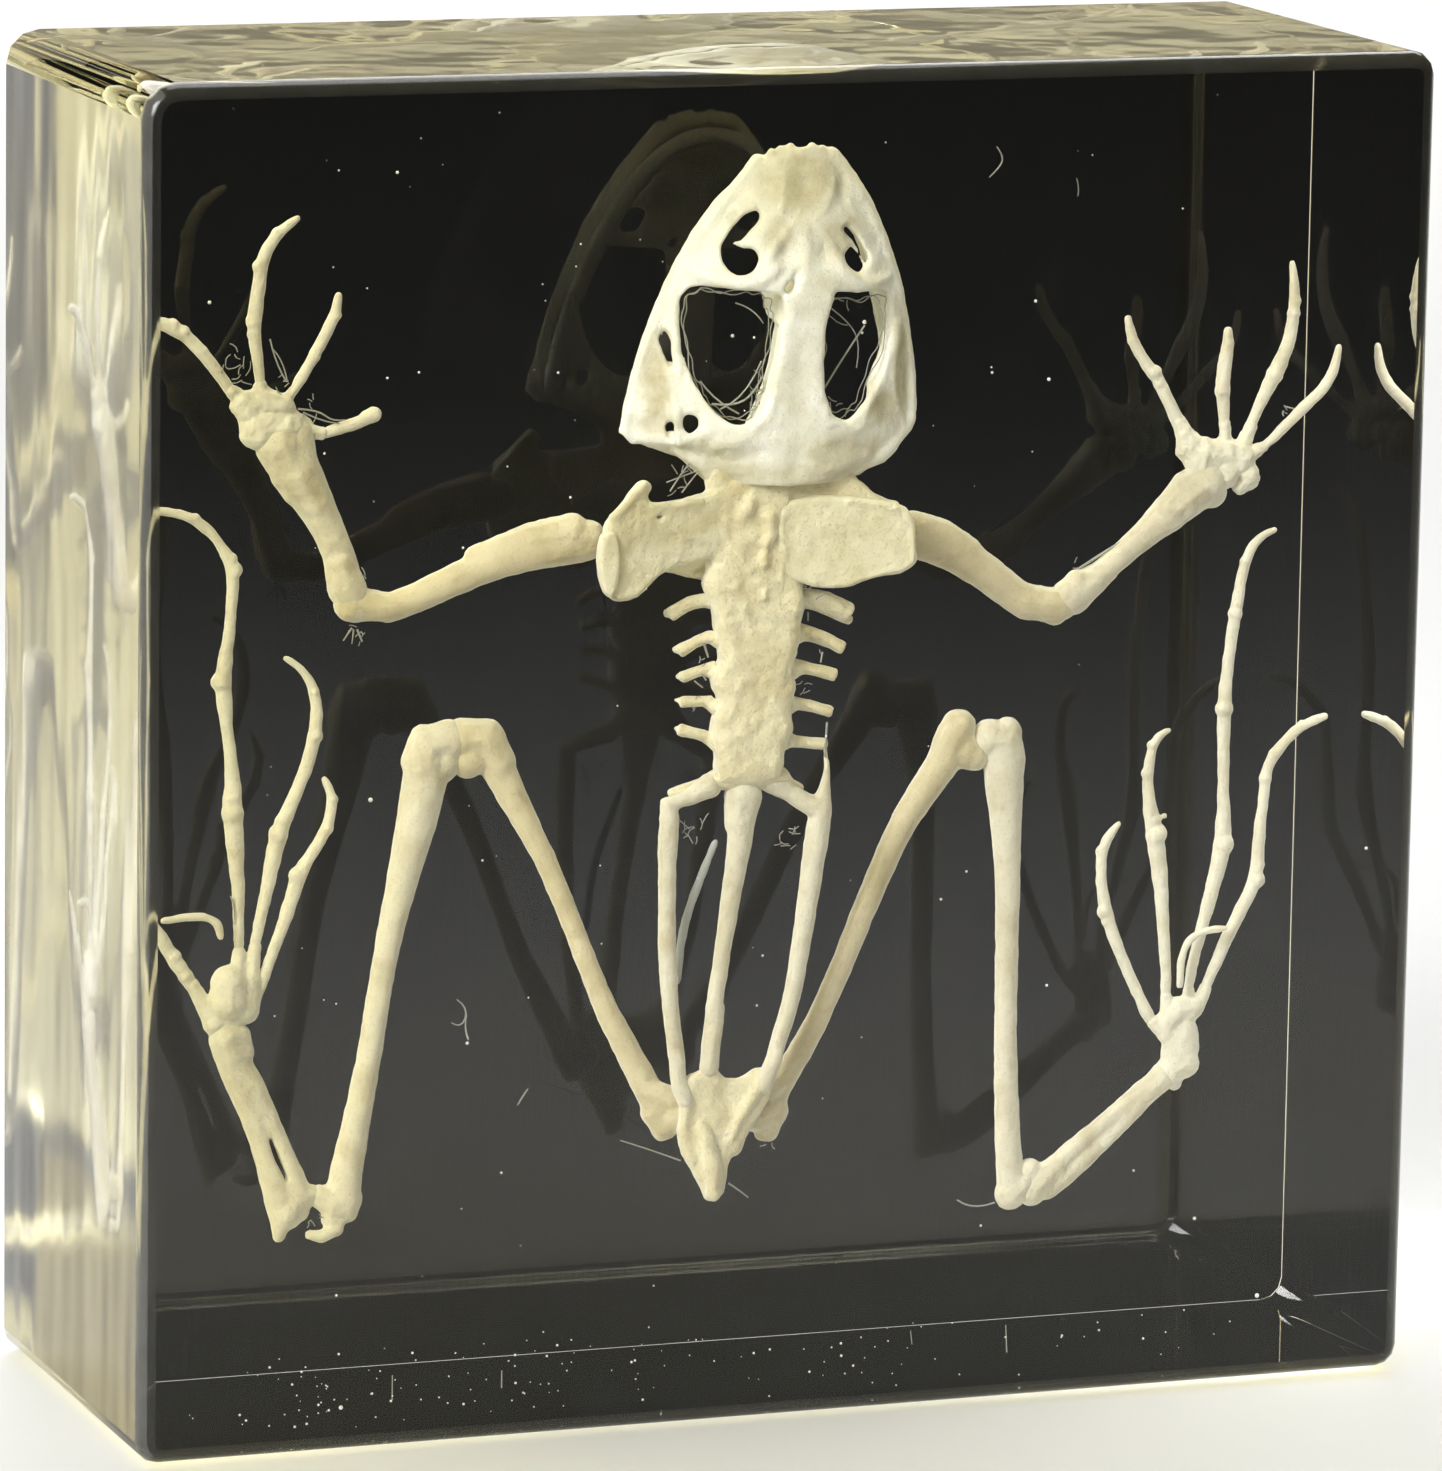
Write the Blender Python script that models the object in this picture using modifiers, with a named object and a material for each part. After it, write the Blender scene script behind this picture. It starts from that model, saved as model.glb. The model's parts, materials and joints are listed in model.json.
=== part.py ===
"""A small frog skeleton, spread flat and cast in a clear resin block that stands on one edge.

Lengths in the tables are millimetres. A place in the block is given as x across (right is
positive), z up from the bottom face, and a depth measured back from the front face.
"""
import math

import bmesh
import bpy
from mathutils import Matrix

MM = 0.001

# Driving dimensions of the block and of the black sheet behind it
BLOCK_WIDTH = 75.0
BLOCK_HEIGHT = 75.5
BLOCK_DEPTH = 27.0
EDGE_CHAMFER = 1.0
PIECE_GAP = 0.3
SHEET_THICKNESS = 0.7
SHEET_MARGIN = 0.9
SHEET_CORNER = 1.5

# The resin is parted behind the bones, and their pocket opens on that plane
PARTING_DEPTH = 18.6
LIMB_POCKET_DEPTH = 13.8
BODY_POCKET_DEPTH = 10.5
POCKET_STEP = 0.07
CUTTER_OVERRUN = 3.0

# Depths of the bones
LIMB_DEPTH = 16.5
SPINE_DEPTH = 13.8
PELVIS_DEPTH = 13.4
JAW_DEPTH = 16.7
BREAST_DEPTH = 17.6

# Ends of a bone are rounded by one smaller ring, as shares of the end's radius
END_REACH = 0.45
END_RADIUS = 0.55

FRONT_Y = -(BLOCK_DEPTH + PIECE_GAP + SHEET_THICKNESS) / 2

# Bones as (x, z, depth, radius), from the end nearer the spine outwards
ARM_BONES = {
    "humerus_left": [
        (-8.6, 48.35, 15.3, 1.35), (-11.0, 48.1, 15.6, 1.3), (-13.4, 47.6, 15.9, 1.2),
        (-14.9, 46.95, 16.1, 1.0), (-16.9, 46.15, 16.3, 0.95), (-18.3, 45.5, 16.4, 0.9),
        (-19.8, 45.0, 16.5, 0.88), (-20.5, 44.8, 16.5, 0.9),
    ],
    "radioulna_left": [
        (-22.3, 45.1, LIMB_DEPTH, 1.0), (-22.75, 46.6, LIMB_DEPTH, 0.98),
        (-23.1, 48.0, LIMB_DEPTH, 0.92), (-24.05, 50.0, LIMB_DEPTH, 1.0),
        (-25.15, 52.0, LIMB_DEPTH, 1.4), (-25.95, 53.15, LIMB_DEPTH, 1.7),
    ],
    "humerus_right": [
        (10.2, 47.8, 15.3, 1.3), (12.1, 47.2, 15.6, 1.25), (13.5, 46.4, 15.8, 1.15),
        (15.1, 45.4, 16.0, 1.1), (16.4, 44.35, 16.2, 1.05), (17.6, 43.5, 16.4, 1.0),
        (18.3, 43.2, 16.5, 0.95),
    ],
    "radioulna_right": [
        (20.3, 43.4, LIMB_DEPTH, 1.05), (20.9, 43.9, LIMB_DEPTH, 1.0),
        (21.8, 44.7, LIMB_DEPTH, 0.85),
        (23.3, 45.9, LIMB_DEPTH, 0.7), (24.8, 47.1, LIMB_DEPTH, 0.85),
        (26.4, 48.4, LIMB_DEPTH, 1.2), (27.6, 49.4, LIMB_DEPTH, 1.4),
    ],
}
LEG_BONES = {
    "femur_left": [
        (-3.95, 14.35, 14.9, 0.83), (-4.35, 15.6, 14.9, 0.87), (-4.85, 16.7, 15.0, 0.87),
        (-6.1, 19.0, 15.1, 0.8), (-7.4, 21.4, 15.3, 0.7), (-8.5, 24.1, 15.6, 0.63),
        (-9.6, 27.0, 15.9, 0.62), (-10.75, 29.8, 16.1, 0.64), (-11.75, 31.8, 16.3, 0.72),
        (-12.85, 33.75, 16.4, 0.86), (-13.9, 35.85, 16.5, 1.12), (-14.5, 37.7, 16.5, 1.14),
    ],
    "tibiofibula_left": [
        (-17.75, 37.6, LIMB_DEPTH, 1.33), (-17.95, 36.0, LIMB_DEPTH, 1.38),
        (-18.05, 34.9, LIMB_DEPTH, 1.4), (-18.7, 31.9, LIMB_DEPTH, 1.2),
        (-19.3, 29.4, LIMB_DEPTH, 0.95), (-20.1, 26.1, LIMB_DEPTH, 0.76),
        (-20.65, 22.9, LIMB_DEPTH, 0.74), (-21.05, 20.0, LIMB_DEPTH, 0.74),
        (-21.7, 16.7, LIMB_DEPTH, 0.8), (-22.3, 13.8, LIMB_DEPTH, 0.95),
        (-22.6, 12.0, LIMB_DEPTH, 1.12), (-22.7, 10.9, LIMB_DEPTH, 1.0),
    ],
    "femur_right": [
        (2.05, 13.9, 14.9, 0.85), (2.3, 15.0, 14.9, 0.9), (2.55, 16.1, 15.0, 0.88),
        (3.05, 17.0, 15.0, 0.84), (3.9, 18.1, 15.1, 0.76), (5.15, 20.1, 15.3, 0.7),
        (6.6, 23.1, 15.5, 0.7), (8.0, 26.3, 15.9, 0.74), (9.6, 29.7, 16.3, 0.8),
        (11.0, 32.2, 16.5, 0.9), (12.6, 34.1, 16.5, 1.06), (13.3, 35.6, 16.5, 1.1),
        (13.6, 36.8, 16.5, 1.0),
    ],
    "tibiofibula_right": [
        (16.3, 36.0, LIMB_DEPTH, 1.3), (16.55, 34.5, LIMB_DEPTH, 1.4),
        (16.6, 32.5, LIMB_DEPTH, 1.15), (16.8, 30.0, LIMB_DEPTH, 0.92),
        (16.95, 27.0, LIMB_DEPTH, 0.76), (16.95, 22.5, LIMB_DEPTH, 0.72),
        (16.95, 18.0, LIMB_DEPTH, 0.7), (17.15, 14.5, LIMB_DEPTH, 0.78),
        (17.25, 12.2, LIMB_DEPTH, 0.8), (17.5, 10.0, LIMB_DEPTH, 0.92),
        (17.6, 8.85, LIMB_DEPTH, 0.9),
    ],
}
HIP_BONES = {
    "ilium_left": [
        (-4.3, 32.8, PELVIS_DEPTH, 0.66), (-4.4, 30.5, PELVIS_DEPTH, 0.57),
        (-4.4, 28.0, PELVIS_DEPTH, 0.52), (-4.35, 25.0, PELVIS_DEPTH, 0.54),
        (-4.1, 22.0, PELVIS_DEPTH, 0.5), (-3.85, 19.9, PELVIS_DEPTH, 0.49),
        (-3.6, 18.5, PELVIS_DEPTH, 0.5), (-3.5, 16.8, PELVIS_DEPTH, 0.42),
    ],
    "ilium_right": [
        (5.05, 35.4, PELVIS_DEPTH, 0.15), (4.95, 33.9, PELVIS_DEPTH, 0.25),
        (4.7, 32.5, PELVIS_DEPTH, 0.8), (4.35, 30.0, PELVIS_DEPTH, 0.72),
        (4.1, 28.0, PELVIS_DEPTH, 0.65), (3.7, 25.0, PELVIS_DEPTH, 0.58),
        (3.2, 22.0, PELVIS_DEPTH, 0.52), (2.75, 20.5, PELVIS_DEPTH, 0.52),
        (2.25, 19.0, PELVIS_DEPTH, 0.48), (1.85, 17.3, 13.2, 0.42),
    ],
    "urostyle": [
        (0.0, 32.6, PELVIS_DEPTH, 0.85), (-0.1, 30.9, PELVIS_DEPTH, 0.75),
        (-0.5, 28.5, PELVIS_DEPTH, 0.6), (-1.0, 25.0, PELVIS_DEPTH, 0.5),
        (-1.5, 21.5, PELVIS_DEPTH, 0.48), (-1.85, 18.9, PELVIS_DEPTH, 0.48),
    ],
    "ischium": [
        (-0.65, 17.0, 13.5, 1.75), (-0.7, 15.9, 13.6, 1.85), (-0.95, 14.7, 13.6, 1.85),
        (-1.35, 13.5, 13.7, 1.5), (-1.36, 12.4, 13.8, 1.05), (-1.3, 11.6, 13.8, 0.75),
        (-1.3, 10.65, 13.9, 0.48),
    ],
    "tendon": [
        (-1.25, 31.0, 14.6, 0.2), (-2.0, 29.2, 14.7, 0.25), (-2.75, 27.2, 14.8, 0.25),
        (-3.2, 25.4, 14.9, 0.25), (-3.35, 23.0, 14.9, 0.22),
    ],
}
WRIST_AND_FOOT_CLUMPS = {
    "carpals_left": [
        (-28.2, 55.9, LIMB_DEPTH, 0.72), (-27.2, 55.7, LIMB_DEPTH, 0.95),
        (-26.1, 55.4, LIMB_DEPTH, 0.92), (-25.0, 55.1, LIMB_DEPTH, 0.58),
    ],
    "carpals_right": [
        (28.1, 52.0, LIMB_DEPTH, 0.75), (29.3, 51.5, LIMB_DEPTH, 1.0),
        (30.3, 50.8, LIMB_DEPTH, 1.0), (30.9, 50.2, LIMB_DEPTH, 0.7),
    ],
    "foot_base_left": [
        (-29.5, 21.7, LIMB_DEPTH, 1.15), (-29.4, 23.0, LIMB_DEPTH, 1.25),
        (-29.4, 24.3, LIMB_DEPTH, 1.0), (-29.5, 24.9, LIMB_DEPTH, 0.7),
    ],
    "foot_base_right": [
        (27.75, 15.7, LIMB_DEPTH, 1.1), (27.75, 17.0, LIMB_DEPTH, 1.35),
        (27.9, 18.4, LIMB_DEPTH, 1.1),
    ],
}
# The two long ankle bones of a foot, grown together at both ends
ANKLE_BONES = {
    "ankle_bones_left": (
        [
            (-29.35, 19.9, LIMB_DEPTH, 0.85), (-28.5, 18.0, LIMB_DEPTH, 0.75),
            (-27.5, 15.5, LIMB_DEPTH, 0.62), (-26.75, 13.0, LIMB_DEPTH, 0.75),
            (-26.1, 10.8, LIMB_DEPTH, 0.95),
        ],
        [
            (-28.8, 19.8, LIMB_DEPTH, 0.85), (-27.65, 17.9, LIMB_DEPTH, 0.7),
            (-26.35, 15.1, LIMB_DEPTH, 0.5), (-25.45, 12.9, LIMB_DEPTH, 0.7),
            (-25.1, 11.5, LIMB_DEPTH, 0.85),
        ],
    ),
    "ankle_bones_right": (
        [
            (19.55, 9.95, LIMB_DEPTH, 0.72), (20.9, 11.3, LIMB_DEPTH, 0.62),
            (22.9, 12.8, LIMB_DEPTH, 0.48), (24.75, 14.2, LIMB_DEPTH, 0.54),
            (25.65, 14.9, LIMB_DEPTH, 0.65),
        ],
        [
            (19.6, 9.2, LIMB_DEPTH, 0.72), (21.4, 10.35, LIMB_DEPTH, 0.58),
            (23.45, 12.1, LIMB_DEPTH, 0.46), (25.0, 13.6, LIMB_DEPTH, 0.54),
            (25.8, 14.45, LIMB_DEPTH, 0.65),
        ],
    ),
}
# Fingers and toes, from the wrist or the foot to the tip: the joints are the thicker rings
DIGITS = {
    "finger_left_1": [
        (-24.0, 54.75, LIMB_DEPTH, 0.36), (-22.7, 55.1, LIMB_DEPTH, 0.36),
        (-21.35, 55.55, LIMB_DEPTH, 0.42),
    ],
    "finger_left_2": [
        (-25.9, 57.0, LIMB_DEPTH, 0.32), (-25.4, 57.8, LIMB_DEPTH, 0.34),
        (-24.6, 59.1, LIMB_DEPTH, 0.36), (-23.95, 60.3, LIMB_DEPTH, 0.36),
        (-23.4, 61.4, LIMB_DEPTH, 0.37), (-23.25, 62.4, LIMB_DEPTH, 0.22),
    ],
    "finger_left_3": [
        (-27.7, 57.3, LIMB_DEPTH, 0.32), (-27.85, 59.0, LIMB_DEPTH, 0.32),
        (-28.15, 61.1, LIMB_DEPTH, 0.5), (-27.85, 62.6, LIMB_DEPTH, 0.42),
        (-27.75, 64.1, LIMB_DEPTH, 0.42), (-27.3, 65.2, LIMB_DEPTH, 0.38),
        (-26.6, 66.05, LIMB_DEPTH, 0.32), (-25.6, 66.7, LIMB_DEPTH, 0.22),
    ],
    "finger_left_4": [
        (-29.25, 57.1, LIMB_DEPTH, 0.36), (-29.95, 58.1, LIMB_DEPTH, 0.36),
        (-31.0, 59.5, LIMB_DEPTH, 0.38), (-32.1, 60.6, LIMB_DEPTH, 0.45),
        (-33.3, 61.2, LIMB_DEPTH, 0.42), (-34.9, 61.3, LIMB_DEPTH, 0.24),
    ],
    "finger_right_1": [
        (26.8, 53.4, LIMB_DEPTH, 0.48), (26.3, 54.3, LIMB_DEPTH, 0.4),
        (25.7, 55.5, LIMB_DEPTH, 0.38), (25.2, 56.4, LIMB_DEPTH, 0.46),
        (24.4, 57.2, LIMB_DEPTH, 0.34), (23.7, 58.5, LIMB_DEPTH, 0.34),
        (23.5, 59.6, LIMB_DEPTH, 0.25),
    ],
    "finger_right_2": [
        (29.55, 53.1, LIMB_DEPTH, 0.34), (29.55, 53.9, LIMB_DEPTH, 0.32),
        (29.4, 55.2, LIMB_DEPTH, 0.52), (29.5, 56.7, LIMB_DEPTH, 0.48),
        (29.7, 58.0, LIMB_DEPTH, 0.38), (29.65, 58.7, LIMB_DEPTH, 0.28),
    ],
    "finger_right_3": [
        (31.1, 52.9, LIMB_DEPTH, 0.34), (31.8, 54.5, LIMB_DEPTH, 0.38),
        (32.6, 56.0, LIMB_DEPTH, 0.58), (33.4, 57.6, LIMB_DEPTH, 0.42),
        (33.75, 59.5, LIMB_DEPTH, 0.4), (33.7, 61.2, LIMB_DEPTH, 0.3),
        (33.5, 62.4, LIMB_DEPTH, 0.22),
    ],
    "finger_right_4": [
        (31.9, 51.9, 16.3, 0.28), (32.7, 52.5, 16.2, 0.32), (33.95, 53.8, 16.0, 0.38),
        (35.3, 55.0, 15.8, 0.34), (36.1, 56.1, 15.7, 0.38), (36.3, 57.6, 15.6, 0.24),
    ],
    "toe_left_1": [
        (-30.0, 27.0, 15.6, 0.22), (-30.05, 27.7, 15.6, 0.26),
        (-30.55, 28.15, 15.6, 0.24), (-31.7, 28.3, 15.6, 0.26),
        (-33.3, 28.1, 15.6, 0.2),
    ],
    "toe_left_2": [
        (-27.55, 23.6, LIMB_DEPTH, 0.34), (-27.2, 24.8, LIMB_DEPTH, 0.35),
        (-26.6, 26.3, LIMB_DEPTH, 0.38), (-25.9, 28.1, LIMB_DEPTH, 0.42),
        (-25.4, 30.1, LIMB_DEPTH, 0.52), (-24.5, 31.4, LIMB_DEPTH, 0.36),
        (-23.65, 32.7, LIMB_DEPTH, 0.38), (-23.4, 33.9, LIMB_DEPTH, 0.36),
        (-23.5, 34.9, LIMB_DEPTH, 0.26), (-23.9, 35.5, LIMB_DEPTH, 0.18),
    ],
    "toe_left_3": [
        (-27.85, 26.3, LIMB_DEPTH, 0.3), (-27.6, 27.4, LIMB_DEPTH, 0.36),
        (-27.1, 29.6, LIMB_DEPTH, 0.42), (-26.55, 32.5, LIMB_DEPTH, 0.62),
        (-25.8, 34.1, LIMB_DEPTH, 0.42), (-25.0, 35.9, LIMB_DEPTH, 0.4),
        (-24.35, 37.9, LIMB_DEPTH, 0.46), (-24.3, 39.9, LIMB_DEPTH, 0.33),
        (-24.75, 41.1, LIMB_DEPTH, 0.27), (-25.4, 41.9, LIMB_DEPTH, 0.22),
        (-26.2, 42.35, LIMB_DEPTH, 0.16),
    ],
    "toe_left_4": [
        (-28.75, 26.0, LIMB_DEPTH, 0.34), (-28.75, 28.0, LIMB_DEPTH, 0.34),
        (-28.85, 30.5, LIMB_DEPTH, 0.45), (-29.15, 33.8, LIMB_DEPTH, 0.72),
        (-29.15, 34.8, LIMB_DEPTH, 0.58), (-29.2, 36.5, LIMB_DEPTH, 0.42),
        (-29.5, 38.7, LIMB_DEPTH, 0.34), (-29.85, 41.2, LIMB_DEPTH, 0.62),
        (-29.45, 43.2, LIMB_DEPTH, 0.36), (-29.3, 45.0, LIMB_DEPTH, 0.32),
        (-29.1, 47.4, LIMB_DEPTH, 0.44), (-29.75, 48.6, LIMB_DEPTH, 0.32),
        (-30.6, 49.7, LIMB_DEPTH, 0.3), (-31.7, 50.5, LIMB_DEPTH, 0.3),
        (-33.1, 50.85, LIMB_DEPTH, 0.26), (-34.5, 50.8, LIMB_DEPTH, 0.18),
    ],
    "toe_left_5": [
        (-31.2, 23.9, LIMB_DEPTH, 0.42), (-31.8, 24.8, LIMB_DEPTH, 0.46),
        (-32.7, 26.1, LIMB_DEPTH, 0.46), (-33.3, 27.2, LIMB_DEPTH, 0.4),
        (-34.3, 28.6, LIMB_DEPTH, 0.24),
    ],
    "toe_right_1": [
        (27.45, 20.9, 15.5, 0.24), (27.4, 22.3, 15.5, 0.26), (27.75, 23.4, 15.5, 0.26),
        (28.4, 23.9, 15.5, 0.24), (29.25, 24.1, 15.5, 0.22), (30.2, 24.1, 15.5, 0.18),
    ],
    "toe_right_2": [
        (25.95, 18.8, LIMB_DEPTH, 0.4), (25.15, 20.3, LIMB_DEPTH, 0.37),
        (23.95, 22.8, LIMB_DEPTH, 0.36), (22.9, 25.4, LIMB_DEPTH, 0.46),
        (22.6, 27.5, LIMB_DEPTH, 0.32), (22.65, 28.9, LIMB_DEPTH, 0.38),
        (23.05, 29.8, LIMB_DEPTH, 0.32), (23.7, 30.45, LIMB_DEPTH, 0.2),
    ],
    "toe_right_3": [
        (26.85, 20.0, LIMB_DEPTH, 0.34), (26.8, 22.0, LIMB_DEPTH, 0.34),
        (26.6, 24.0, LIMB_DEPTH, 0.4), (26.4, 26.5, LIMB_DEPTH, 0.48),
        (26.0, 29.7, LIMB_DEPTH, 0.68), (25.5, 31.3, LIMB_DEPTH, 0.42),
        (25.35, 33.3, LIMB_DEPTH, 0.34), (25.6, 34.8, LIMB_DEPTH, 0.34),
        (26.05, 35.5, LIMB_DEPTH, 0.26), (26.65, 35.75, LIMB_DEPTH, 0.16),
    ],
    "toe_right_4": [
        (28.2, 20.3, LIMB_DEPTH, 0.34), (28.5, 22.3, LIMB_DEPTH, 0.36),
        (29.1, 24.5, LIMB_DEPTH, 0.42), (29.75, 27.0, LIMB_DEPTH, 0.52),
        (30.2, 28.9, LIMB_DEPTH, 0.68), (30.15, 31.0, LIMB_DEPTH, 0.42),
        (30.05, 33.5, LIMB_DEPTH, 0.34), (30.0, 36.8, LIMB_DEPTH, 0.55),
        (30.1, 38.8, LIMB_DEPTH, 0.32), (30.55, 42.3, LIMB_DEPTH, 0.44),
        (30.9, 44.5, LIMB_DEPTH, 0.36), (31.3, 45.9, LIMB_DEPTH, 0.33),
        (32.0, 46.8, LIMB_DEPTH, 0.28), (32.9, 47.05, LIMB_DEPTH, 0.18),
    ],
    "toe_right_5": [
        (29.25, 20.4, LIMB_DEPTH, 0.38), (30.4, 23.1, LIMB_DEPTH, 0.42),
        (31.5, 25.2, LIMB_DEPTH, 0.45), (32.35, 26.7, LIMB_DEPTH, 0.5),
        (32.35, 29.0, LIMB_DEPTH, 0.4), (32.65, 31.5, LIMB_DEPTH, 0.36),
        (32.7, 33.0, LIMB_DEPTH, 0.36), (33.1, 33.9, LIMB_DEPTH, 0.38),
        (34.0, 34.9, LIMB_DEPTH, 0.34), (35.0, 35.7, LIMB_DEPTH, 0.32),
        (36.3, 36.1, 16.3, 0.25),
    ],
}

# Spine from the neck down: z, x of the middle, half width of the body, then the left and the
# right process as how far its root and tip stand out from the middle, z of each and its radius
VERTEBRA_HALF_HEIGHT = 0.88
VERTEBRA_DEPTH_SHARE = 1.5
VERTEBRAE = [
    (50.75, 1.3, 2.1, None, None),
    (48.7, 1.2, 2.2, (3.4, 48.6, 3.9, 48.4, 0.4), (3.4, 48.6, 3.9, 48.4, 0.4)),
    (46.65, 1.05, 2.35, (3.4, 46.5, 4.0, 46.2, 0.4), (3.4, 46.4, 4.0, 46.0, 0.4)),
    (44.6, 0.9, 2.45, (3.0, 44.9, 5.4, 44.1, 0.42), (3.0, 44.5, 5.55, 43.25, 0.44)),
    (42.55, 0.85, 2.4, (2.9, 42.8, 4.8, 42.0, 0.32), (2.9, 42.6, 5.0, 41.7, 0.32)),
    (40.6, 0.8, 2.35, (2.8, 40.8, 4.6, 40.5, 0.3), (2.8, 40.7, 4.7, 40.1, 0.3)),
    (38.65, 0.7, 2.3, (2.7, 39.1, 4.55, 39.2, 0.26), (2.7, 38.6, 4.6, 38.1, 0.3)),
    (36.65, 0.6, 2.2, (2.6, 37.0, 4.45, 37.6, 0.28), (2.6, 36.5, 4.4, 36.3, 0.3)),
    (34.65, 0.4, 2.1, (2.6, 34.3, 4.5, 33.9, 0.42), (2.4, 34.2, 3.3, 33.75, 0.42)),
]

# Skull roof from the snout to the nape: z, left edge, right edge
SKULL_ROWS = [
    (70.1, 2.3, 4.6), (69.5, 0.5, 5.7), (68.4, -0.8, 6.6), (67.0, -2.0, 7.5),
    (65.3, -3.15, 8.3), (63.5, -4.15, 9.0), (61.4, -5.1, 9.6), (59.3, -5.95, 10.0),
    (57.3, -6.5, 10.3), (55.2, -7.1, 10.45), (53.9, -6.9, 10.25), (52.8, -3.9, 9.1),
    (51.25, -2.2, 6.85),
]
SKULL_COLUMNS = 12
SKULL_SHELL = 0.9
CROWN_DEPTH = 11.5
SNOUT_DEPTH = 14.0
SKULL_RIM_DEPTH = 14.6
SNOUT_STARTS_Z = 62.0
CROWN_FLATNESS = 2.4
BRAINCASE = [
    (1.75, 53.0, 13.9, 2.1), (1.9, 54.5, 13.9, 2.0), (2.6, 57.0, 13.9, 1.7),
    (3.1, 60.0, 13.9, 1.6), (3.2, 62.6, 14.0, 1.6),
]
# Openings seen through the skull, as outlines of (x, z)
SKULL_OPENINGS = {
    "orbit_left": [
        (-3.0, 62.5), (-4.1, 60.9), (-4.0, 58.9), (-3.4, 57.2), (-2.35, 55.65), (-1.2, 55.0),
        (-0.2, 55.2), (0.9, 56.4), (1.45, 58.5), (1.7, 60.5), (1.6, 62.0), (-0.9, 62.3),
    ],
    "orbit_right": [
        (4.6, 62.1), (4.05, 60.7), (3.95, 58.7), (3.9, 56.8), (4.2, 55.7), (4.9, 55.15),
        (6.0, 55.1), (7.1, 56.0), (7.8, 57.4), (8.3, 59.0), (8.7, 60.6), (8.5, 61.7),
        (7.7, 62.0), (6.2, 61.9),
    ],
    "nostril_left": [
        (-1.75, 64.6), (-1.75, 63.8), (-1.0, 63.05), (-0.1, 63.25), (0.4, 63.9),
        (0.1, 64.5), (-0.8, 64.75), (0.6, 66.2), (0.4, 66.7), (-0.4, 66.4), (-1.3, 65.4),
    ],
    "nostril_right": [
        (5.25, 64.1), (5.5, 63.45), (6.1, 63.15), (6.9, 63.3), (6.95, 63.9), (6.3, 64.7),
        (5.6, 65.7), (5.2, 65.4), (5.8, 64.5),
    ],
    "cheek_hole": [(-4.0, 55.3), (-3.95, 54.6), (-3.6, 54.25), (-3.0, 54.75), (-3.1, 55.3)],
}
JAW_HALF_THICKNESS = 0.55
LOWER_JAW = [
    (-6.3, 54.6), (-5.75, 57.0), (-4.95, 59.8), (-3.7, 62.6), (-2.2, 65.2), (-0.6, 67.2),
    (1.3, 68.6), (3.3, 69.0), (5.2, 68.4), (6.6, 66.7), (7.8, 64.1), (8.6, 61.0),
    (9.2, 58.0), (9.6, 54.8),
]

# Flat shoulder pieces, as outlines of (x, z)
PLATE_HALF_THICKNESS = 0.35
SCAPULA_LEFT = [
    (-8.2, 49.8), (-7.4, 50.7), (-6.45, 51.75), (-6.0, 51.75), (-6.2, 51.0), (-5.5, 50.6),
    (-4.8, 50.6), (-3.5, 50.8), (-2.4, 50.5), (-2.2, 48.6), (-2.3, 47.2), (-3.4, 46.95),
    (-4.3, 47.1), (-5.2, 47.0), (-6.0, 46.4), (-6.95, 45.5), (-7.3, 45.25), (-7.35, 47.0),
    (-7.3, 48.9),
]
SUPRASCAPULA_RIGHT = [
    (3.8, 45.2), (5.35, 45.35), (6.3, 45.75), (7.7, 46.0), (8.7, 46.3), (9.4, 47.3),
    (9.65, 49.4), (8.65, 50.2), (6.6, 50.9), (3.7, 50.6), (3.4, 48.0),
]
SUPRASCAPULA_LEFT = [
    (-8.35, 45.8, 12.5, 0.55), (-8.42, 46.8, 12.5, 0.66), (-8.4, 48.0, 12.5, 0.62),
    (-8.38, 48.9, 12.5, 0.38),
]
SCAPULA_RIGHT = [(8.5, 47.8, 14.6, 0.75), (7.4, 47.6, 15.5, 0.65), (6.4, 47.4, 16.1, 0.6)]
BREAST_MIDDLE_X = 1.1
BREAST_OUTLINE_HALF = [
    (0.0, 50.0), (6.1, 48.9), (7.2, 47.3), (5.6, 46.0), (1.7, 45.4), (1.2, 43.3), (0.0, 42.5),
]
BREAST_OPENING = [(5.4, 47.4), (1.5, 48.5), (1.5, 46.8)]

# Outlines of the pocket, as (x, z)
BODY_POCKET = [
    (-8.1, 53.0), (-8.0, 56.0), (-6.9, 60.0), (-4.6, 64.9), (-1.2, 69.3), (1.8, 70.9),
    (4.9, 70.9), (7.4, 68.6), (9.6, 64.4), (11.0, 57.6), (11.2, 53.6), (10.4, 51.2),
    (12.9, 49.4), (12.9, 45.2), (10.0, 44.9), (7.4, 44.2), (7.1, 42.0), (6.5, 36.8),
    (6.4, 30.0), (5.6, 25.0), (7.6, 23.4), (5.9, 18.6), (4.4, 14.2), (2.6, 12.8),
    (0.4, 11.6), (-1.0, 9.5), (-2.4, 9.7), (-5.2, 13.3), (-6.6, 15.2), (-8.4, 20.2),
    (-7.2, 21.8), (-5.9, 21.0), (-5.6, 26.0), (-5.7, 34.6), (-5.2, 36.8), (-5.5, 44.2),
    (-7.0, 44.1), (-9.4, 44.8), (-12.0, 46.0), (-12.0, 50.2), (-8.9, 50.6), (-6.6, 52.4),
]
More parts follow.
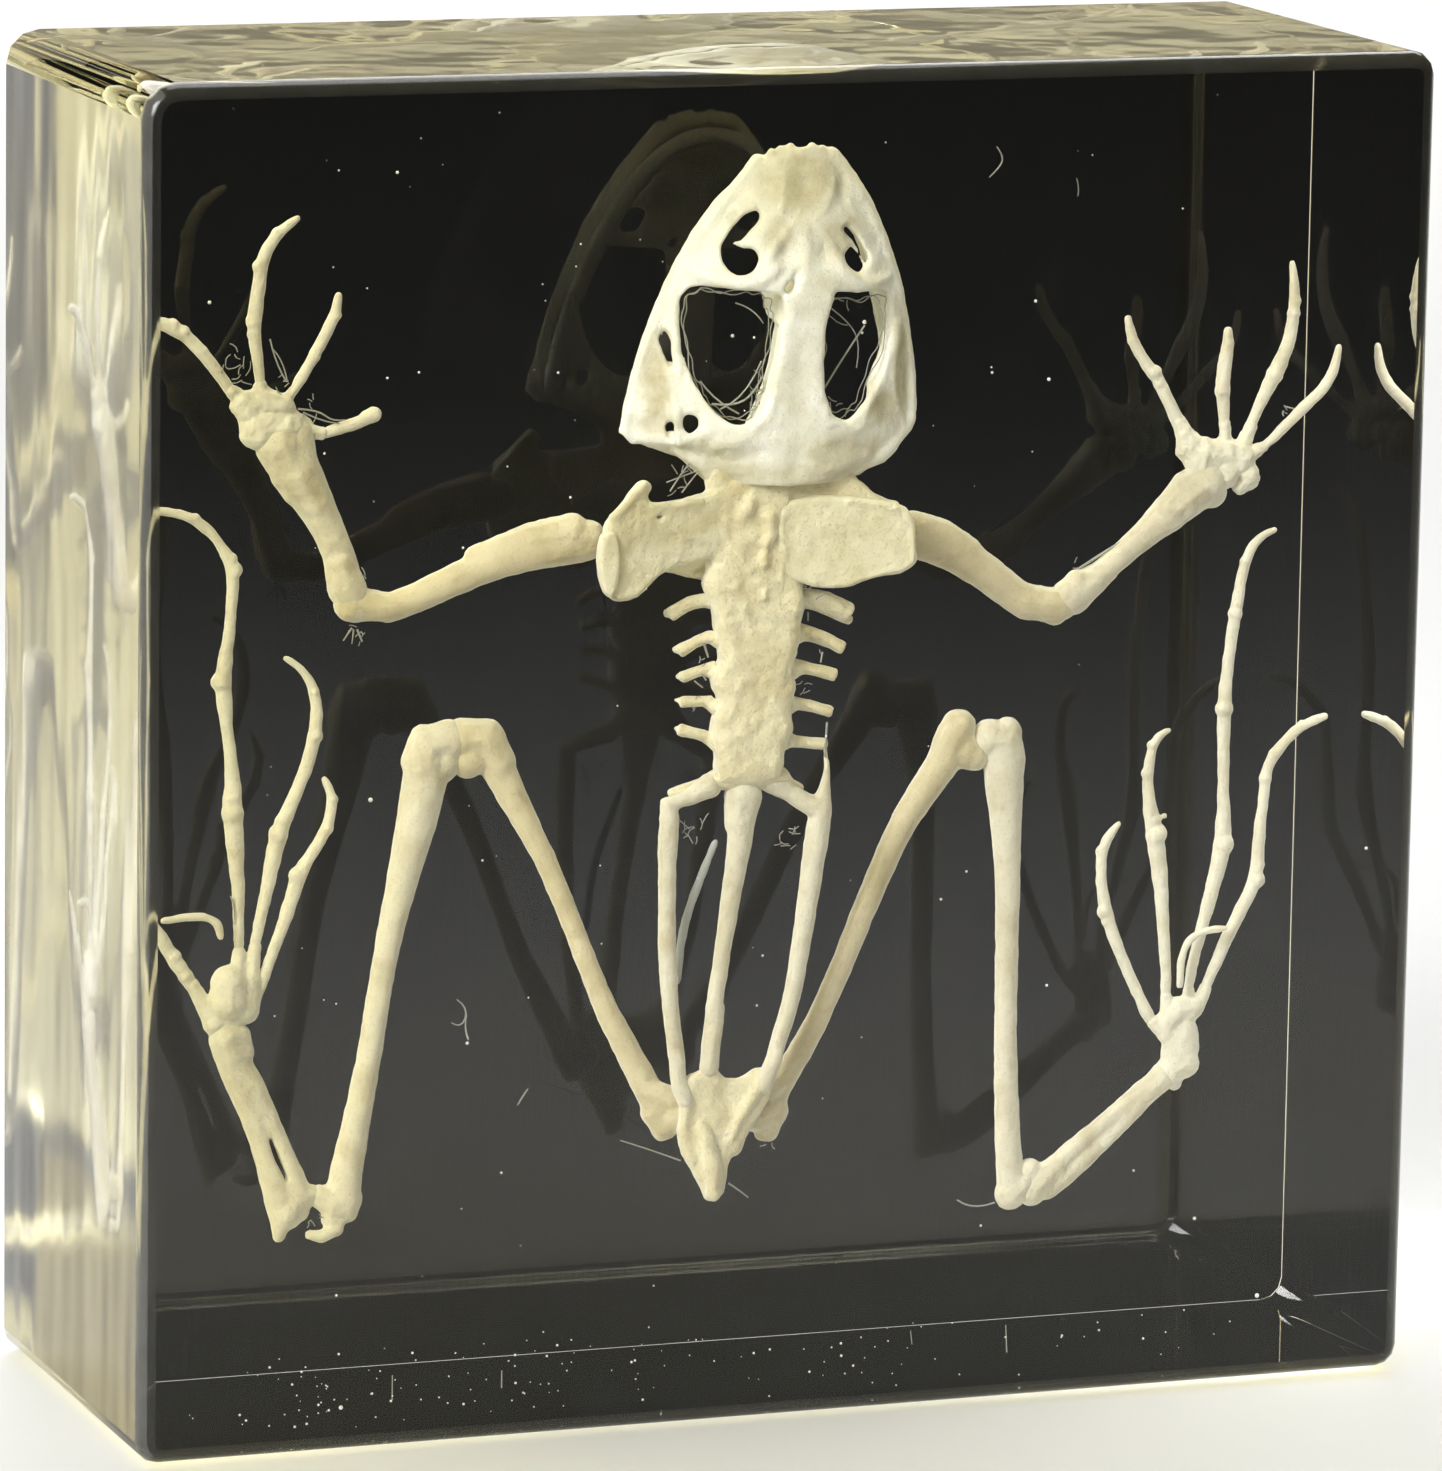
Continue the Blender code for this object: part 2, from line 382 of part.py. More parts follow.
LIMB_POCKETS = {
    "arm_left": [
        (-6.5, 50.6), (-13.5, 49.8), (-21.5, 47.0), (-23.2, 53.4), (-20.2, 54.4),
        (-20.2, 56.6), (-22.2, 58.6), (-22.3, 63.2), (-24.0, 67.7), (-27.8, 67.2),
        (-29.8, 62.4), (-36.0, 62.3), (-36.0, 60.2), (-33.2, 59.2), (-30.4, 56.0),
        (-27.6, 51.3), (-24.9, 47.0), (-24.0, 43.3), (-20.0, 43.2), (-14.5, 45.3),
        (-6.5, 45.6),
    ],
    "arm_right": [
        (6.5, 49.9), (10.5, 50.2), (13.8, 48.7), (18.5, 45.7), (20.6, 46.3), (24.2, 49.3),
        (25.6, 51.8), (25.2, 53.6), (22.6, 58.0), (22.7, 60.6), (24.4, 60.6), (28.2, 57.5),
        (28.8, 59.8), (30.6, 59.7), (32.3, 59.0), (32.6, 63.3), (34.6, 63.3), (34.9, 58.5),
        (36.9, 58.6), (36.9, 55.2), (32.4, 50.6), (31.9, 48.7), (25.2, 45.7), (22.4, 43.2),
        (21.6, 42.0), (18.8, 41.5), (16.4, 42.3), (12.5, 45.0), (9.5, 45.6),
    ],
    "leg_left": [
        (-3.4, 19.4), (-9.4, 30.8), (-13.0, 38.7), (-16.0, 39.3), (-19.8, 38.8),
        (-22.2, 24.0), (-24.4, 14.4), (-27.2, 20.6), (-22.4, 32.0), (-23.0, 41.5),
        (-27.3, 43.6), (-28.0, 48.2), (-31.0, 51.6), (-35.6, 51.8), (-35.6, 27.0),
        (-31.8, 21.4), (-27.5, 8.7), (-23.6, 8.1), (-21.2, 9.7), (-20.1, 17.5),
        (-15.6, 34.1), (-10.8, 26.0), (-6.2, 14.4),
    ],
    "leg_right": [
        (4.6, 23.4), (8.6, 31.5), (11.4, 36.6), (12.4, 38.3), (17.3, 38.0), (18.8, 35.5),
        (18.4, 30.0), (18.5, 13.6), (19.6, 12.7), (25.2, 16.4), (25.2, 17.8), (21.6, 25.0),
        (21.6, 30.4), (24.6, 36.2), (27.6, 36.6), (29.0, 38.6), (30.0, 46.5), (31.6, 47.8),
        (33.8, 47.8), (33.6, 46.2), (31.9, 44.5), (31.4, 38.0), (33.2, 36.4), (36.9, 37.0),
        (36.9, 35.2), (34.6, 33.8), (33.6, 31.0), (33.4, 26.4), (30.2, 19.2), (29.8, 15.0),
        (27.6, 13.9), (24.6, 11.2), (20.6, 7.4), (16.6, 7.3), (15.6, 9.5), (15.6, 28.0),
        (14.6, 32.4), (13.3, 32.3), (9.1, 25.8), (4.2, 14.5),
    ],
}


def clear_scene():
    for obj in list(bpy.data.objects):
        bpy.data.objects.remove(obj, do_unlink=True)


def make_collection(name):
    collection = bpy.data.collections.new(name)
    bpy.context.scene.collection.children.link(collection)
    return collection


def make_material(name, colour, roughness, transmission=0.0):
    material = bpy.data.materials.new(name)
    material.use_nodes = True
    shader = material.node_tree.nodes["Principled BSDF"]
    shader.inputs["Base Color"].default_value = (*colour, 1.0)
    shader.inputs["Roughness"].default_value = roughness
    shader.inputs["Transmission Weight"].default_value = transmission
    shader.inputs["IOR"].default_value = 1.5
    return material


def place(x, z, depth):
    """A point of the model, in metres, from a place in the block."""
    return (x * MM, (FRONT_Y + depth) * MM, z * MM)


def link_mesh(name, mesh, collection, material=None):
    obj = bpy.data.objects.new(name, mesh)
    collection.objects.link(obj)
    if material:
        mesh.materials.clear()
        mesh.materials.append(material)
        mesh.shade_smooth()
        mesh.set_sharp_from_angle(angle=math.radians(40))
    return obj


def curve_as_mesh(curve_object, mesh_name):
    """The mesh of a curve object, its caps welded and its place applied. The curve goes."""
    bpy.context.view_layer.update()
    graph = bpy.context.evaluated_depsgraph_get()
    mesh = bpy.data.meshes.new_from_object(curve_object.evaluated_get(graph))
    mesh.name = mesh_name
    mesh.transform(curve_object.matrix_world)
    shape = bmesh.new()
    shape.from_mesh(mesh)
    bmesh.ops.remove_doubles(shape, verts=shape.verts, dist=0.00001)
    bmesh.ops.recalc_face_normals(shape, faces=shape.faces)
    shape.to_mesh(mesh)
    shape.free()
    bpy.data.objects.remove(curve_object, do_unlink=True)
    return mesh


def with_round_ends(stations):
    """The stations with one smaller ring beyond each end."""

    def beyond(end, inner):
        length = math.dist(end[:3], inner[:3])
        share = end[3] * END_REACH / length
        point = [e + (e - i) * share for e, i in zip(end[:3], inner[:3])]
        return (*point, end[3] * END_RADIUS)

    first = beyond(stations[0], stations[1])
    last = beyond(stations[-1], stations[-2])
    return [first, *stations, last]


def rod_mesh(name, stations, depth_share=1.0, bevel_resolution=2):
    """A tube through the stations, each (x, z, depth, radius), squashed or drawn out in depth."""
    curve = bpy.data.curves.new(name, "CURVE")
    curve.dimensions = "3D"
    curve.bevel_depth = MM
    curve.bevel_resolution = bevel_resolution
    curve.use_fill_caps = True
    rings = with_round_ends(stations)
    spline = curve.splines.new("POLY")
    spline.points.add(len(rings) - 1)
    for point, (x, z, depth, radius) in zip(spline.points, rings):
        px, py, pz = place(x, z, depth)
        point.co = (px, py / depth_share, pz, 1.0)
        point.radius = radius
    guide = bpy.data.objects.new(name, curve)
    guide.scale.y = depth_share
    bpy.context.scene.collection.objects.link(guide)
    return curve_as_mesh(guide, name)


def outline_mesh(name, outlines, depth, half_thickness, turn=0.0, about_x=0.0):
    """A flat plate with these outlines, facing forwards, turned about an upright line."""
    curve = bpy.data.curves.new(name, "CURVE")
    curve.dimensions = "2D"
    curve.fill_mode = "BOTH"
    curve.extrude = half_thickness * MM
    for outline in outlines:
        spline = curve.splines.new("POLY")
        spline.points.add(len(outline) - 1)
        spline.use_cyclic_u = True
        for point, (x, z) in zip(spline.points, outline):
            point.co = ((x - about_x) * MM, z * MM, 0.0, 1.0)
    guide = bpy.data.objects.new(name, curve)
    guide.rotation_euler = (math.pi / 2, 0.0, turn)
    guide.location = place(about_x, 0.0, depth)
    bpy.context.scene.collection.objects.link(guide)
    return curve_as_mesh(guide, name)


def box_mesh(name, low, high):
    """A box between two corners, each (x, y, z) in metres."""
    mesh = bpy.data.meshes.new(name)
    shape = bmesh.new()
    bmesh.ops.create_cube(shape, size=1.0)
    size = [b - a for a, b in zip(low, high)]
    middle = [(a + b) / 2 for a, b in zip(low, high)]
    bmesh.ops.scale(shape, vec=size, verts=shape.verts)
    bmesh.ops.translate(shape, vec=middle, verts=shape.verts)
    shape.to_mesh(mesh)
    shape.free()
    return mesh


def bevel_edges(obj, width, segments):
    bevel = obj.modifiers.new("bevel", "BEVEL")
    bevel.width = width * MM
    bevel.segments = segments
    bevel.limit_method = "ANGLE"


def boolean(obj, other, operation):
    modifier = obj.modifiers.new(operation.lower(), "BOOLEAN")
    modifier.operation = operation
    modifier.object = other


def link_cutter(name, mesh, cutters):
    cutter = link_mesh(name, mesh, cutters)
    cutter.hide_render = True
    cutter.display_type = "WIRE"
    return cutter


def pocket_prism(name, outline, from_depth, cutters):
    """A cutter with this outline, from a depth in the resin to well behind the parting."""
    half_length = (PARTING_DEPTH + CUTTER_OVERRUN - from_depth) / 2
    mesh = outline_mesh(name, [outline], from_depth + half_length, half_length)
    return link_cutter(name, mesh, cutters)


def make_resin_half(name, parts, cutters, material, cut_from, cut_to):
    """The chamfered block with everything between two depths cut away."""
    half_width = BLOCK_WIDTH / 2
    low = place(-half_width, 0.0, 0.0)
    high = place(half_width, BLOCK_HEIGHT, BLOCK_DEPTH)
    half = link_mesh(name, box_mesh(name, low, high), parts, material)
    bevel_edges(half, EDGE_CHAMFER, 2)
    reach = half_width + CUTTER_OVERRUN
    low = place(-reach, -CUTTER_OVERRUN, cut_from)
    high = place(reach, BLOCK_HEIGHT + CUTTER_OVERRUN, cut_to)
    cutter = link_cutter(name + "_cutter", box_mesh(name + "_cutter", low, high), cutters)
    boolean(half, cutter, "DIFFERENCE")
    return half


def make_block(parts, cutters):
    resin = make_material("clear_resin", (0.97, 0.95, 0.88), 0.03, transmission=1.0)
    front = make_resin_half(
        "resin_front", parts, cutters, resin, PARTING_DEPTH, BLOCK_DEPTH + CUTTER_OVERRUN
    )
    make_resin_half(
        "resin_back", parts, cutters, resin, -CUTTER_OVERRUN, PARTING_DEPTH + PIECE_GAP
    )
    body = pocket_prism("pocket_body", BODY_POCKET, BODY_POCKET_DEPTH, cutters)
    boolean(front, body, "DIFFERENCE")
    for step, (limb, outline) in enumerate(LIMB_POCKETS.items()):
        from_depth = LIMB_POCKET_DEPTH + step * POCKET_STEP
        cutter = pocket_prism("pocket_" + limb, outline, from_depth, cutters)
        boolean(front, cutter, "DIFFERENCE")


def make_backing(parts):
    black = make_material("black_card", (0.012, 0.012, 0.012), 0.5)
    x = BLOCK_WIDTH / 2 - SHEET_MARGIN
    c = SHEET_CORNER
    low = SHEET_MARGIN
    high = BLOCK_HEIGHT - SHEET_MARGIN
    outline = [
        (-x + c, low), (x - c, low), (x, low + c), (x, high - c),
        (x - c, high), (-x + c, high), (-x, high - c), (-x, low + c),
    ]
    depth = BLOCK_DEPTH + PIECE_GAP + SHEET_THICKNESS / 2
    mesh = outline_mesh("black_backing", [outline], depth, SHEET_THICKNESS / 2)
    link_mesh("black_backing", mesh, parts, black)


def crown_depth(z):
    """Depth of the skull's midline: level over the crown, falling away towards the snout."""
    if z < SNOUT_STARTS_Z:
        return CROWN_DEPTH
    share = (z - SNOUT_STARTS_Z) / (SKULL_ROWS[0][0] - SNOUT_STARTS_Z)
    return CROWN_DEPTH + (SNOUT_DEPTH - CROWN_DEPTH) * share**1.3


def skull_roof_mesh():
    """A domed sheet within the skull's outline, from a flat grid."""
    rows = len(SKULL_ROWS) - 1
    shape = bmesh.new()
    bmesh.ops.create_grid(shape, x_segments=SKULL_COLUMNS, y_segments=rows, size=1.0)
    for vertex in shape.verts:
        across = vertex.co.x
        row = round((vertex.co.y + 1) / 2 * rows)
        z, left, right = SKULL_ROWS[row]
        x = (left + right) / 2 + across * (right - left) / 2
        crown = crown_depth(z)
        depth = crown + (SKULL_RIM_DEPTH - crown) * abs(across) ** CROWN_FLATNESS
        vertex.co = place(x, z, depth)
    bmesh.ops.recalc_face_normals(shape, faces=shape.faces)
    facing = sum(face.normal.y for face in shape.faces)
    if facing > 0:
        bmesh.ops.reverse_faces(shape, faces=shape.faces)
    mesh = bpy.data.meshes.new("skull")
    shape.to_mesh(mesh)
    shape.free()
    return mesh


def make_skull(parts, cutters):
    bone = make_material("skull_bone", (0.83, 0.79, 0.66), 0.5)
    skull = link_mesh("skull", skull_roof_mesh(), parts, bone)
    shell = skull.modifiers.new("shell", "SOLIDIFY")
    shell.thickness = SKULL_SHELL * MM
    shell.offset = -1.0
    braincase = link_cutter("braincase", rod_mesh("braincase", BRAINCASE), cutters)
    boolean(skull, braincase, "UNION")
    half_length = BLOCK_DEPTH / 2
    for opening, outline in SKULL_OPENINGS.items():
        mesh = outline_mesh(opening, [outline], half_length, half_length)
        boolean(skull, link_cutter(opening, mesh, cutters), "DIFFERENCE")
    stations = [(x, z, JAW_DEPTH, JAW_HALF_THICKNESS) for x, z in LOWER_JAW]
    link_mesh("lower_jaw", rod_mesh("lower_jaw", stations), parts, bone)


def vertebra_stations(z, middle, half_width, left, right):
    """One vertebra as a rod across the back, from the tip of its left process to its right."""
    r = VERTEBRA_HALF_HEIGHT

    def process(side, parts_of):
        if parts_of is None:
            return []
        root_out, root_z, tip_out, tip_z, radius = parts_of
        return [
            (middle + side * root_out, root_z, SPINE_DEPTH + 0.3, radius),
            (middle + side * tip_out, tip_z, SPINE_DEPTH + 0.5, radius),
        ]

    body = [
        (middle - half_width, z, SPINE_DEPTH, r * 0.75),
        (middle - half_width * 0.7, z, SPINE_DEPTH, r),
        (middle + half_width * 0.7, z, SPINE_DEPTH, r),
        (middle + half_width, z, SPINE_DEPTH, r * 0.75),
    ]
    return process(-1, left)[::-1] + body + process(1, right)


def make_spine(parts):
    bone = make_material("spine_bone", (0.72, 0.66, 0.46), 0.55)
    for number, vertebra in enumerate(VERTEBRAE, start=1):
        name = f"vertebra_{number}"
        mesh = rod_mesh(name, vertebra_stations(*vertebra), VERTEBRA_DEPTH_SHARE)
        link_mesh(name, mesh, parts, bone)


def make_shoulders(parts):
    bone = make_material("shoulder_bone", (0.74, 0.68, 0.49), 0.55)
    plates = {
        "scapula_left": (SCAPULA_LEFT, 12.75, -5.0, math.radians(-9)),
        "suprascapula_right": (SUPRASCAPULA_RIGHT, 12.15, 6.6, math.radians(9)),
    }
    for name, (outline, depth, about_x, turn) in plates.items():
        mesh = outline_mesh(name, [outline], depth, PLATE_HALF_THICKNESS, turn, about_x)
        link_mesh(name, mesh, parts, bone)
    rim = rod_mesh("suprascapula_left", SUPRASCAPULA_LEFT, 1.5)
    link_mesh("suprascapula_left", rim, parts, bone)
    link_mesh("scapula_right", rod_mesh("scapula_right", SCAPULA_RIGHT), parts, bone)
    right = [(BREAST_MIDDLE_X + x, z) for x, z in BREAST_OUTLINE_HALF]
    left = [(BREAST_MIDDLE_X - x, z) for x, z in BREAST_OUTLINE_HALF[-2:0:-1]]
    openings = [[(BREAST_MIDDLE_X + s * x, z) for x, z in BREAST_OPENING] for s in (-1, 1)]
    outlines = [right + left, *openings]
    mesh = outline_mesh("breast_bone", outlines, BREAST_DEPTH, PLATE_HALF_THICKNESS)
    link_mesh("breast_bone", mesh, parts, bone)


def make_rods(table, parts, material, depth_share, bevel_resolution):
    for name, stations in table.items():
        mesh = rod_mesh(name, stations, depth_share, bevel_resolution)
        link_mesh(name, mesh, parts, material)


def make_ankles(parts, cutters, material):
    for name, (outer, inner) in ANKLE_BONES.items():
        bones = link_mesh(name, rod_mesh(name, outer), parts, material)
        second = name + "_second"
        boolean(bones, link_cutter(second, rod_mesh(second, inner), cutters), "UNION")


def main():
    clear_scene()
    parts = make_collection("frog_skeleton_block")
    cutters = make_collection("cutters")
    make_block(parts, cutters)
    make_backing(parts)
    make_skull(parts, cutters)
    make_spine(parts)
    make_shoulders(parts)
    long_bone = make_material("limb_bone", (0.8, 0.75, 0.6), 0.45)
    pale_bone = make_material("digit_bone", (0.86, 0.83, 0.7), 0.45)
    make_rods(ARM_BONES, parts, long_bone, 0.85, 2)
    make_rods(LEG_BONES, parts, long_bone, 0.9, 2)
    make_rods(HIP_BONES, parts, long_bone, 1.0, 2)
    make_rods(WRIST_AND_FOOT_CLUMPS, parts, pale_bone, 0.6, 2)
    make_rods(DIGITS, parts, pale_bone, 0.85, 1)
    make_ankles(parts, cutters, long_bone)


main()
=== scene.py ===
import json
import math
import random

import bpy
from mathutils import Matrix, Vector
from mathutils.bvhtree import BVHTree

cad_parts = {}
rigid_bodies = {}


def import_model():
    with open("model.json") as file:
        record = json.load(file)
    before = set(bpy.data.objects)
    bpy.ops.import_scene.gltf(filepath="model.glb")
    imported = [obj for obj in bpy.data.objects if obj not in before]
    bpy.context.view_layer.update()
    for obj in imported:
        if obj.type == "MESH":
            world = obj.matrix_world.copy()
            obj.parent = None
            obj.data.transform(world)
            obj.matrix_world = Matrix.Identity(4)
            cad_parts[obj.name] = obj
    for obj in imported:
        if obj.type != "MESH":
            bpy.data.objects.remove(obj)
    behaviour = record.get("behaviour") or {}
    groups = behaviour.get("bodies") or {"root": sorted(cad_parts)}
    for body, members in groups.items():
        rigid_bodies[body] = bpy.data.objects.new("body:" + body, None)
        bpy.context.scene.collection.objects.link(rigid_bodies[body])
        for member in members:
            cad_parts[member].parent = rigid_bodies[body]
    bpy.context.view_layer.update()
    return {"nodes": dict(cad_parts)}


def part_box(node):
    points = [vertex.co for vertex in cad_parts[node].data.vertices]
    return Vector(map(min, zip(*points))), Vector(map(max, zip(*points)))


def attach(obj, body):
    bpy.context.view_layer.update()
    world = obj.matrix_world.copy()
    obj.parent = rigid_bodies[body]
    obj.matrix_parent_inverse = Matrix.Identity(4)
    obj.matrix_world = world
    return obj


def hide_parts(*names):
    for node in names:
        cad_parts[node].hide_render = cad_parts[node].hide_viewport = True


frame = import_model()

MM = 0.001

# The block and the depth scale of the bones, read from the frame
BLOCK_LOW = Vector(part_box("resin_front")[0])
BLOCK_HIGH = Vector(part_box("resin_back")[1])
FRONT_Y = BLOCK_LOW.y
BLOCK_MIDDLE = (BLOCK_LOW + BLOCK_HIGH) / 2

# Depths behind the front face, in millimetres, as every length below
LIMB_DEPTH = 16.5
SPINE_DEPTH = 13.8
SPECK_DEPTH = 4.0
# From where to where a cut goes, and how close points are merged
CUT_FRONT, CUT_BACK = 6.0, 20.0
MERGE_MM = 0.01
# Voxels of the remeshes, the unevenness of the wrist bones, the digits' joints against the
# radius that was read
BONE_VOXEL, SKULL_VOXEL, RIM_VOXEL = 0.13, 0.12, 0.1
GNARLED_MM = 0.2
JOINT_SHARE = 0.93
# A hollow ends where its squared distance passes this, and a stain, with its painted shade, is full around
# its middle
HOLLOW_END = 6.0
STAIN_AND_SHADE_FULLNESS = 1.6
FINE_SPECKS = 240
LOW_SHARE = 0.6
FRONT_BEVEL, SHARP_BEVEL = 0.9, 0.03
CARD_MM = 0.5
# How far each corner of the front view is rounded, as (width, at the left, at the top)
CORNER_ROUNDING = [(1.9, True, True), (1.3, False, True), (1.2, True, False), (1.3, False, False)]
# The block's finishes, as (name, waves, roughness, clearness), and their places in the list
RESIN_FINISHES = [
    ("polished_resin", 0.004, 0.0, 1.0), ("cast_resin", 0.4, 0.06, 1.0),
    ("worn_resin_edge", 0.02, 0.14, 0.97), ("worn_resin_side", 0.02, 0.2, 0.85),
    ("hazy_resin", 0.4, 0.12, 1.0),
]
POLISHED, CAST, WORN_EDGE, WORN_SIDE, HAZY = range(5)
# Painted highlight on bone: palest where its surface turns away from the view
PAINTED_RIM_HIGHLIGHT = (0.95, 0.93, 0.80)
# The bones' finishes, as (name, (pale, warm, dark, share of the warm clouds), what else differs)
BONE_FINISHES = [
    ("skull_bone", ((0.97, 0.97, 0.90), (0.82, 0.80, 0.66), (0.52, 0.49, 0.34), 0.4),
     # the brown of its stains and of the painted shade in its hollows
     {"stain_and_shade": (0.53, 0.47, 0.28)}),
    ("spine_bone", ((0.80, 0.74, 0.52), (0.62, 0.54, 0.31), (0.38, 0.32, 0.16), 0.5),
     {"bump_mm": 0.25}),
    ("shoulder_bone", ((0.78, 0.73, 0.53), (0.62, 0.56, 0.33), (0.40, 0.34, 0.17), 0.5),
     {"bump_mm": 0.2}),
    ("limb_bone", ((0.74, 0.70, 0.56), (0.56, 0.50, 0.33), (0.38, 0.33, 0.18), 0.5), {}),
    ("digit_bone", ((0.80, 0.77, 0.64), (0.64, 0.59, 0.43), (0.42, 0.37, 0.22), 0.4), {}),
    ("yellowed_bone", ((0.68, 0.61, 0.41), (0.52, 0.45, 0.26), (0.36, 0.30, 0.15), 0.6), {}),
    ("tendon", ((0.5, 0.52, 0.52), (0.4, 0.41, 0.4), (0.3, 0.3, 0.28), 0.3),
     # its painted rim highlight is grey
     {"painted_rim_highlight": (0.6, 0.62, 0.62)}),
]
# How the common way of a bone differs for those of a slot
ROUNDING = {
    "digit_bone": {"voxel": 0.1, "fatten": 0.04, "relax": 2, "uneven": 0.07},
    "spine_bone": {"fatten": -0.05},
    "limb_bone": {"relax": 6},
}


def spot(x, z, depth):
    """A point in metres, from millimetres across, up, and back from the front face."""
    return Vector((x * MM, FRONT_Y + depth * MM, z * MM))


